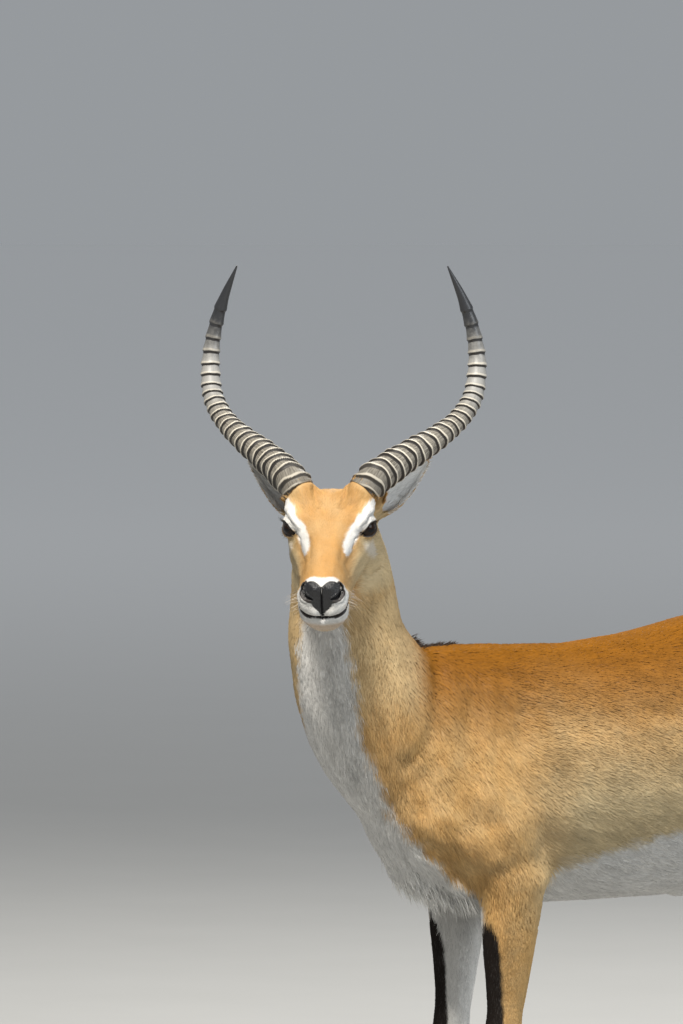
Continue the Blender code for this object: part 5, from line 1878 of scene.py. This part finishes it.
class Trim:
    """The longer hair: ears, horn collars, whiskers, withers, brisket and tail."""

    marks = ("rust", "pale", "white", "black", "face")

    def __init__(self, coat: Coat) -> None:
        self.coat = coat
        self.rng = np.random.default_rng(21)

    def along(self, corners: Array, count: int, scatter: float) -> Array:
        """Chance places near a path."""
        share = (np.arange(count) + self.rng.random(count)) / count
        reach = np.concatenate([[0.0], np.cumsum(np.linalg.norm(np.diff(corners, axis=0), axis=1))])
        places = np.stack([np.interp(share * reach[-1], reach, corners[:, i]) for i in range(3)], 1)
        return places + self.rng.normal(0.0, scatter, (count, 3))

    def head_way(self, forward: float, left: float, up: float) -> Array:
        """A direction of the head's frame."""
        return np.array(HEAD.axes @ Vector((forward, left, up)))

    def on_ear(self, ear: Ear) -> list[Tress]:
        """The fringe on an ear's upper edge, and the pale hair in its hollow."""
        base, along, opens, broad = (np.array(v) for v in ear.axes())
        edge = ear.upper()
        shares = np.linspace(0.2, 0.99, 170)
        rim = np.array([ear.place(share, edge) for share in shares])
        out = unit(rim - (base + along * (ear.length * shares)[:, None]))
        fringe = Tress(rim, unit(out * 0.75 + along * 0.8), 0.0125, 0.0024, {"face": 1.0})
        lower = np.array([ear.place(share, -edge) for share in shares])
        out = unit(lower - (base + along * (ear.length * shares)[:, None]))
        beard = Tress(lower, unit(out * 0.45 + along), 0.008, 0.0014, {"white": 0.8, "pale": 0.4})
        places, ways = [], []
        for share in self.rng.uniform(0.22, 0.8, 90):
            turn = self.rng.choice((-1, 1)) * self.rng.uniform(0.45, 0.95)
            places.append(np.array(ear.place(share, turn)) + opens * 0.001)
            ways.append(along * 0.9 - broad * math.copysign(0.35, turn) + opens * 0.25)
        hollow = Tress(np.array(places), unit(np.array(ways)), 0.019, 0.001, {"white": 0.85})
        return [fringe, beard, hollow]

    def on_horn(self, horn: Horn) -> Tress:
        """The collar of hair round a horn's foot."""
        place, radius = horn.line()
        way, out = horn.way(), HEAD.left * horn.side
        cross = (out - way * out.dot(way)).normalized()
        front = way.cross(cross)
        turns = np.linspace(0, math.tau, 120)
        spokes = np.array([cross * math.cos(a) + front * math.sin(a) for a in turns])
        roots = np.array(place(horn.start)) + spokes * radius(horn.start) * 1.06 - np.array(way) * 0.005
        return Tress(roots, unit(spokes * 0.2 + np.array(way)), 0.012, 0.0017, {"face": 0.9})

    def on_face(self, side: int) -> list[Tress]:
        """Whiskers on lip and chin, and the finer hair along the jaw."""
        lip = HEAD.path(((0.172, 0.024, -0.05), (0.16, 0.037, -0.042), (0.145, 0.042, -0.036)), side)
        chin = HEAD.path(((0.165, 0.01, -0.085), (0.145, 0.028, -0.08), (0.12, 0.032, -0.08)), side)
        jaw = HEAD.path(((0.11, 0.034, -0.08), (0.04, 0.046, -0.098), (-0.01, 0.052, -0.11)), side)
        whisker = Tress(
            self.along(lip, 15, 0.002), self.head_way(-0.1, side * 0.9, -0.35), 0.03, 0.0005,
            {"white": 0.7}, 0.25
        )
        beard = Tress(
            self.along(chin, 22, 0.003), self.head_way(-0.35, side * 0.45, -0.8), 0.021, 0.0005,
            {"white": 0.8}, 0.15
        )
        cheek = Tress(
            self.along(jaw, 70, 0.003), self.head_way(-0.8, side * 0.25, -0.55), 0.02, 0.0011,
            {"pale": 0.8}, 0.1
        )
        return [whisker, beard, cheek]

    def on_body(self) -> list[Tress]:
        """The dark tuft on the withers, the white fringe of the brisket, and the tail's end."""
        withers = self.along(
            np.array(((0.0, -0.385, 0.965), (0.0, -0.335, 0.98), (0.0, -0.29, 0.988))), 330, 0.007
        )
        back = np.array((0.0, 0.88, 0.47))
        made = [Tress(withers, back, 0.021, 0.0024, {"black": 0.9, "rust": 1.0}, 0.1)]
        for side in SIDES.values():
            corners = ((0.012, -0.4, 0.64), (0.035, -0.345, 0.59), (0.07, -0.29, 0.56))
            fold = self.along(np.array(corners) * (side, 1, 1), 300, 0.008)
            made.append(Tress(fold, unit(np.array((0.0, 0.55, -0.84))), 0.036, 0.0022, {"white": 1.0}, 0.2))
        low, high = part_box("tail_tuft")
        centre = middle("tail_tuft")
        turns = self.rng.uniform(0, math.tau, 150)
        spokes = np.stack([np.cos(turns), np.sin(turns), np.zeros(150)], 1)
        heights = self.rng.uniform(low.z + 0.25 * (high.z - low.z), high.z, 150)
        roots = np.stack([centre.x + 0.012 * spokes[:, 0], centre.y + 0.012 * spokes[:, 1], heights], 1)
        made.append(Tress(roots, unit(spokes * 0.16 + (0.0, 0.0, -1.0)), 0.042, 0.0024, {"black": 1.0}))
        return made

    def build(self, finish: Material) -> Object:
        """Sets every growth of hair on the hide, in one piece."""
        tresses = self.on_body()
        for side in SIDES.values():
            tresses += [*self.on_ear(EARS[side]), self.on_horn(HORNS[side]), *self.on_face(side)]
        columns = {name: [] for name in ("root", "way", "length", "width", "bend", "uv")}
        marks = {name: [] for name in self.marks}
        for tress in tresses:
            count = len(tress.roots)
            ways = unit(np.broadcast_to(tress.ways, (count, 3)) + self.rng.normal(0.0, 0.1, (count, 3)))
            size = tress.length * self.rng.uniform(0.65, 1.15, count)
            for root in tress.roots:
                place, normal, index, _ = self.coat.tree.find_nearest(Vector(root))
                columns["root"].append(place - normal * 0.0008)
                columns["uv"].append(self.coat.uv[self.coat.loops[index][0]])
            columns["way"] += list(ways)
            columns["length"] += list(size)
            columns["width"] += list(tress.width * self.rng.uniform(0.7, 1.2, count))
            sway = self.rng.normal(0.0, 0.08, (count, 3)) - np.array((0.0, 0.0, tress.droop))
            columns["bend"] += list(sway * size[:, None])
            for name, values in marks.items():
                values += [tress.marks.get(name, 0.0)] * count
        numbers = {name: np.array(values) for name, values in marks.items()}
        strands = Strands(
            **{name: np.array(values, float) for name, values in columns.items()}, numbers=numbers
        )
        return linked("coat_trim", strands.build(), finish, "coat")


# ---- eyes


@dataclass
class Eye:
    """An eyeball with a clear bulge over a dark iris and a level pupil."""

    side: int
    bulge: float = 0.001
    iris: float = 0.8  # radians from the axis
    pupil: tuple[float, float] = (0.46, 0.17)

    def build(self, finish: Material) -> Object:
        """Turns the ball so that its pole looks out of the lids, and swells the cornea."""
        lids = LIDS[self.side]
        bm = bmesh.new()
        bmesh.ops.create_uvsphere(bm, u_segments=64, v_segments=48, radius=lids.radius - 0.0003)
        frame_rows = Matrix(lids.frame.tolist()).transposed()
        level = Vector((0, 0, 1)).cross(Vector(lids.frame[2].tolist())).normalized()
        rise = Vector(lids.frame[2].tolist()).cross(level)
        pupils, edges = [], []
        for vert in bm.verts:
            ray = vert.co.normalized()
            off = math.acos(max(-1.0, min(1.0, ray.z)))
            vert.co += ray * self.bulge * float(eased(0.95, 0.0, np.array(off)))
            vert.co = frame_rows @ vert.co
            look = vert.co.normalized()
            across, above = look.dot(level), look.dot(rise)
            share = math.hypot(across / self.pupil[0], above / self.pupil[1])
            front = float(off < 1.2)
            pupils.append(front * float(eased(1.08, 0.92, np.array(share))))
            edges.append(float(eased(self.iris - 0.12, self.iris, np.array(off))))
        bmesh.ops.translate(bm, vec=Vector(lids.eye.tolist()), verts=bm.verts)
        mesh = mesh_of(bm)
        carry(mesh, {"pupil": np.array(pupils), "edge": np.array(edges)})
        name = "left" if self.side > 0 else "right"
        return linked(f"eye_{name}_ball", mesh, finish, "eye", f"eye_{name}")


@dataclass
class Lashes:
    """Long dark lashes along the upper lids, and short ones below."""

    count: int = 46
    length: float = 0.0125

    def build(self, finish: Material) -> Object:
        """Sets the lashes along both eyes' lids."""
        rng = np.random.default_rng(3)
        roots, ways, bends, lengths = [], [], [], []
        for lids in LIDS.values():
            for upper in (True, False):
                count = self.count if upper else self.count // 2
                for k in range(count):
                    x = lids.half_length * (-0.92 + 1.7 * (k + rng.random()) / count)
                    y = lids.edge(x, upper) * 1.06
                    high = abs(y) / (lids.upper if upper else lids.lower)
                    flat = x * x + y * y
                    ray = np.array([x, y, (4 - flat) / 4]) / ((4 + flat) / 4)
                    tilt = np.array([x * 0.35, (0.42 if upper else -0.55), 0.72])
                    reach = lids.radius + lids.margin + lids.thickness * 0.4
                    roots.append(lids.eye + (ray * reach) @ lids.frame)
                    ways.append(unit(tilt + rng.normal(0, 0.1, 3)) @ lids.frame)
                    size = (
                        self.length * (1.0 if upper else 0.45) * (0.65 + 0.5 * high)
                        * rng.uniform(0.8, 1.15)
                    )
                    lengths.append(size)
                    bends.append(np.array([0, size * (0.3 if upper else -0.2), -size * 0.1]) @ lids.frame)
        lengths = np.array(lengths)
        places = rng.random((len(lengths), 2))
        strands = Strands(
            np.array(roots), np.array(ways), lengths, np.full(len(lengths), 0.00045), np.array(bends),
            places
        )
        return linked("lashes", strands.build(), finish, "eye")


# ---- hooves


@dataclass
class Claws:
    """The eight claws of the cloven feet, each smoothed from its solid and ringed by growth."""

    voxel: float = 0.0016
    ring_depth: float = 0.00022

    def build(self, finish: Material) -> None:
        """Makes each claw as a piece that stands for its solid."""
        for name in HOOVES:
            mesh = remeshed(mesh_of(solid(name)), self.voxel)
            relax(mesh, 22)
            points, normals = coordinates(mesh), directions(mesh)
            ring = (
                np.sin(points[:, 2] * math.tau / 0.0034 + 2.0 * wavy(points, 20.0))
                * eased(0.003, 0.008, points[:, 2])
            )
            points = points + normals * (ring * self.ring_depth)[:, None]
            points[:, 2] = np.maximum(points[:, 2], 0.0)
            move_to(mesh, points)
            mesh.polygons.foreach_set("use_smooth", np.ones(len(mesh.polygons), bool))
            linked(f"{name}_horn", mesh, finish, "hoof", name)


# ---- the studio


@dataclass
class Studio:
    """A pale floor, soft lamps and the camera."""

    bearing: float = math.radians(60)  # of the camera, round from the animal's front to its left
    height: float = math.radians(3)
    distance: float = 17.0
    view: float = 1.6384  # what the picture's height takes in at the animal
    # the picture's centre, right of and above the point between the eyes
    offset: tuple[float, float] = (0.0192, 0.0246)

    @staticmethod
    def way(bearing: float, height: float) -> Vector:
        """The direction at a bearing and a height over the horizon, both in radians."""
        level = math.cos(height)
        return Vector((math.sin(bearing) * level, -math.cos(bearing) * level, math.sin(height)))

    def floor(self) -> None:
        """A wide plain disc just under the claws, which pales into the sky far off."""
        bm = bmesh.new()
        bmesh.ops.create_circle(bm, cap_ends=True, segments=96, radius=60.0)
        tree = Tree("floor")
        speck = tree.noise(tree.place(), 3.0, 4.0)
        far = Number(
            tree,
            tree.node("ShaderNodeVectorMath", {"operation": "LENGTH"}, {0: tree.place()}).outputs["Value"]
        )
        near = tree.mix(speck, (0.4, 0.4, 0.39), (0.43, 0.43, 0.42))
        pale = tree.mix(far.eased(4.0, 22.0), near, (0.99, 0.99, 0.99))
        material = tree.finish({"Base Color": pale, "Roughness": 0.9})
        mesh = mesh_of(bm)
        mesh.materials.append(material)
        loose("floor", mesh)

    def lamp(
        self, name: str, bearing: float, height: float, distance: float, size: float, power: float,
        colour: Colour
    ) -> None:
        """Sets up one square soft lamp that looks at the animal's middle."""
        target = Vector((0.0, -0.1, 0.85))
        way = self.way(bearing, height)
        light = bpy.data.lights.new(name, "AREA")
        light.energy, light.size, light.color = power, size, colour
        obj = loose(name, light)
        turn = way.to_track_quat("Z", "Y").to_matrix().to_4x4()
        obj.matrix_world = Matrix.Translation(target + way * distance) @ turn
        obj.visible_camera = False

    def camera(self) -> None:
        """Looks at the point between the eyes from the left of the front, nearly level."""
        back = self.way(self.bearing, self.height)
        right = Vector((math.cos(self.bearing), math.sin(self.bearing), 0))
        up = back.cross(right)
        between = (middle("eye_left") + middle("eye_right")) / 2
        target = between + right * self.offset[0] + up * self.offset[1]
        camera = bpy.data.cameras.new("camera")
        camera.sensor_fit, camera.sensor_height = "VERTICAL", 36.0
        camera.lens = camera.sensor_height * self.distance / self.view
        camera.clip_end = 100.0
        obj = loose("camera", camera)
        turn = Matrix((right, up, back)).transposed().to_4x4()
        obj.matrix_world = Matrix.Translation(target + back * self.distance) @ turn
        bpy.context.scene.camera = obj

    def build(self) -> None:
        """Floor, sky, lamps and camera."""
        scene = bpy.context.scene
        scene.view_settings.view_transform = "Standard"
        world = bpy.data.worlds.new("studio")
        scene.world = world
        world.use_nodes = True
        world.node_tree.nodes["Background"].inputs[0].default_value = (0.9, 0.95, 1.0, 1.0)
        world.node_tree.nodes["Background"].inputs[1].default_value = 0.34
        self.floor()
        self.lamp("key", math.radians(41), math.radians(56), 8.0, 1.4, 960.0, (1.0, 0.95, 0.87))
        self.lamp("fill", math.radians(115), math.radians(25), 6.0, 3.0, 150.0, (0.88, 0.94, 1.0))
        self.lamp("back", math.radians(230), math.radians(40), 6.0, 3.0, 200.0, (1.0, 0.97, 0.92))
        self.camera()


# ---- all together


def main() -> None:
    """Builds the animal from the hide out, then the studio round it."""
    logging.basicConfig(level=logging.INFO, format="%(name)s: %(message)s")
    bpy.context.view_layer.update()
    coat_finish = CoatFinish()
    hide = Hide()
    hide.build()
    hide.dress(coat_finish)
    horn_finish = HornFinish().make()
    eye_finish = EyeFinish().make()
    for side in SIDES.values():
        HORNS[side].build(horn_finish)
        Eye(side).build(eye_finish)
    Lashes().build(LashFinish().make("lash"))
    Claws().build(HoofFinish().make())
    coat = Coat(hide, coat_finish)
    for cut in Cut:
        coat.build(cut)
    Trim(coat).build(coat.material)
    Studio().build()


if __name__ == "__main__":
    main()
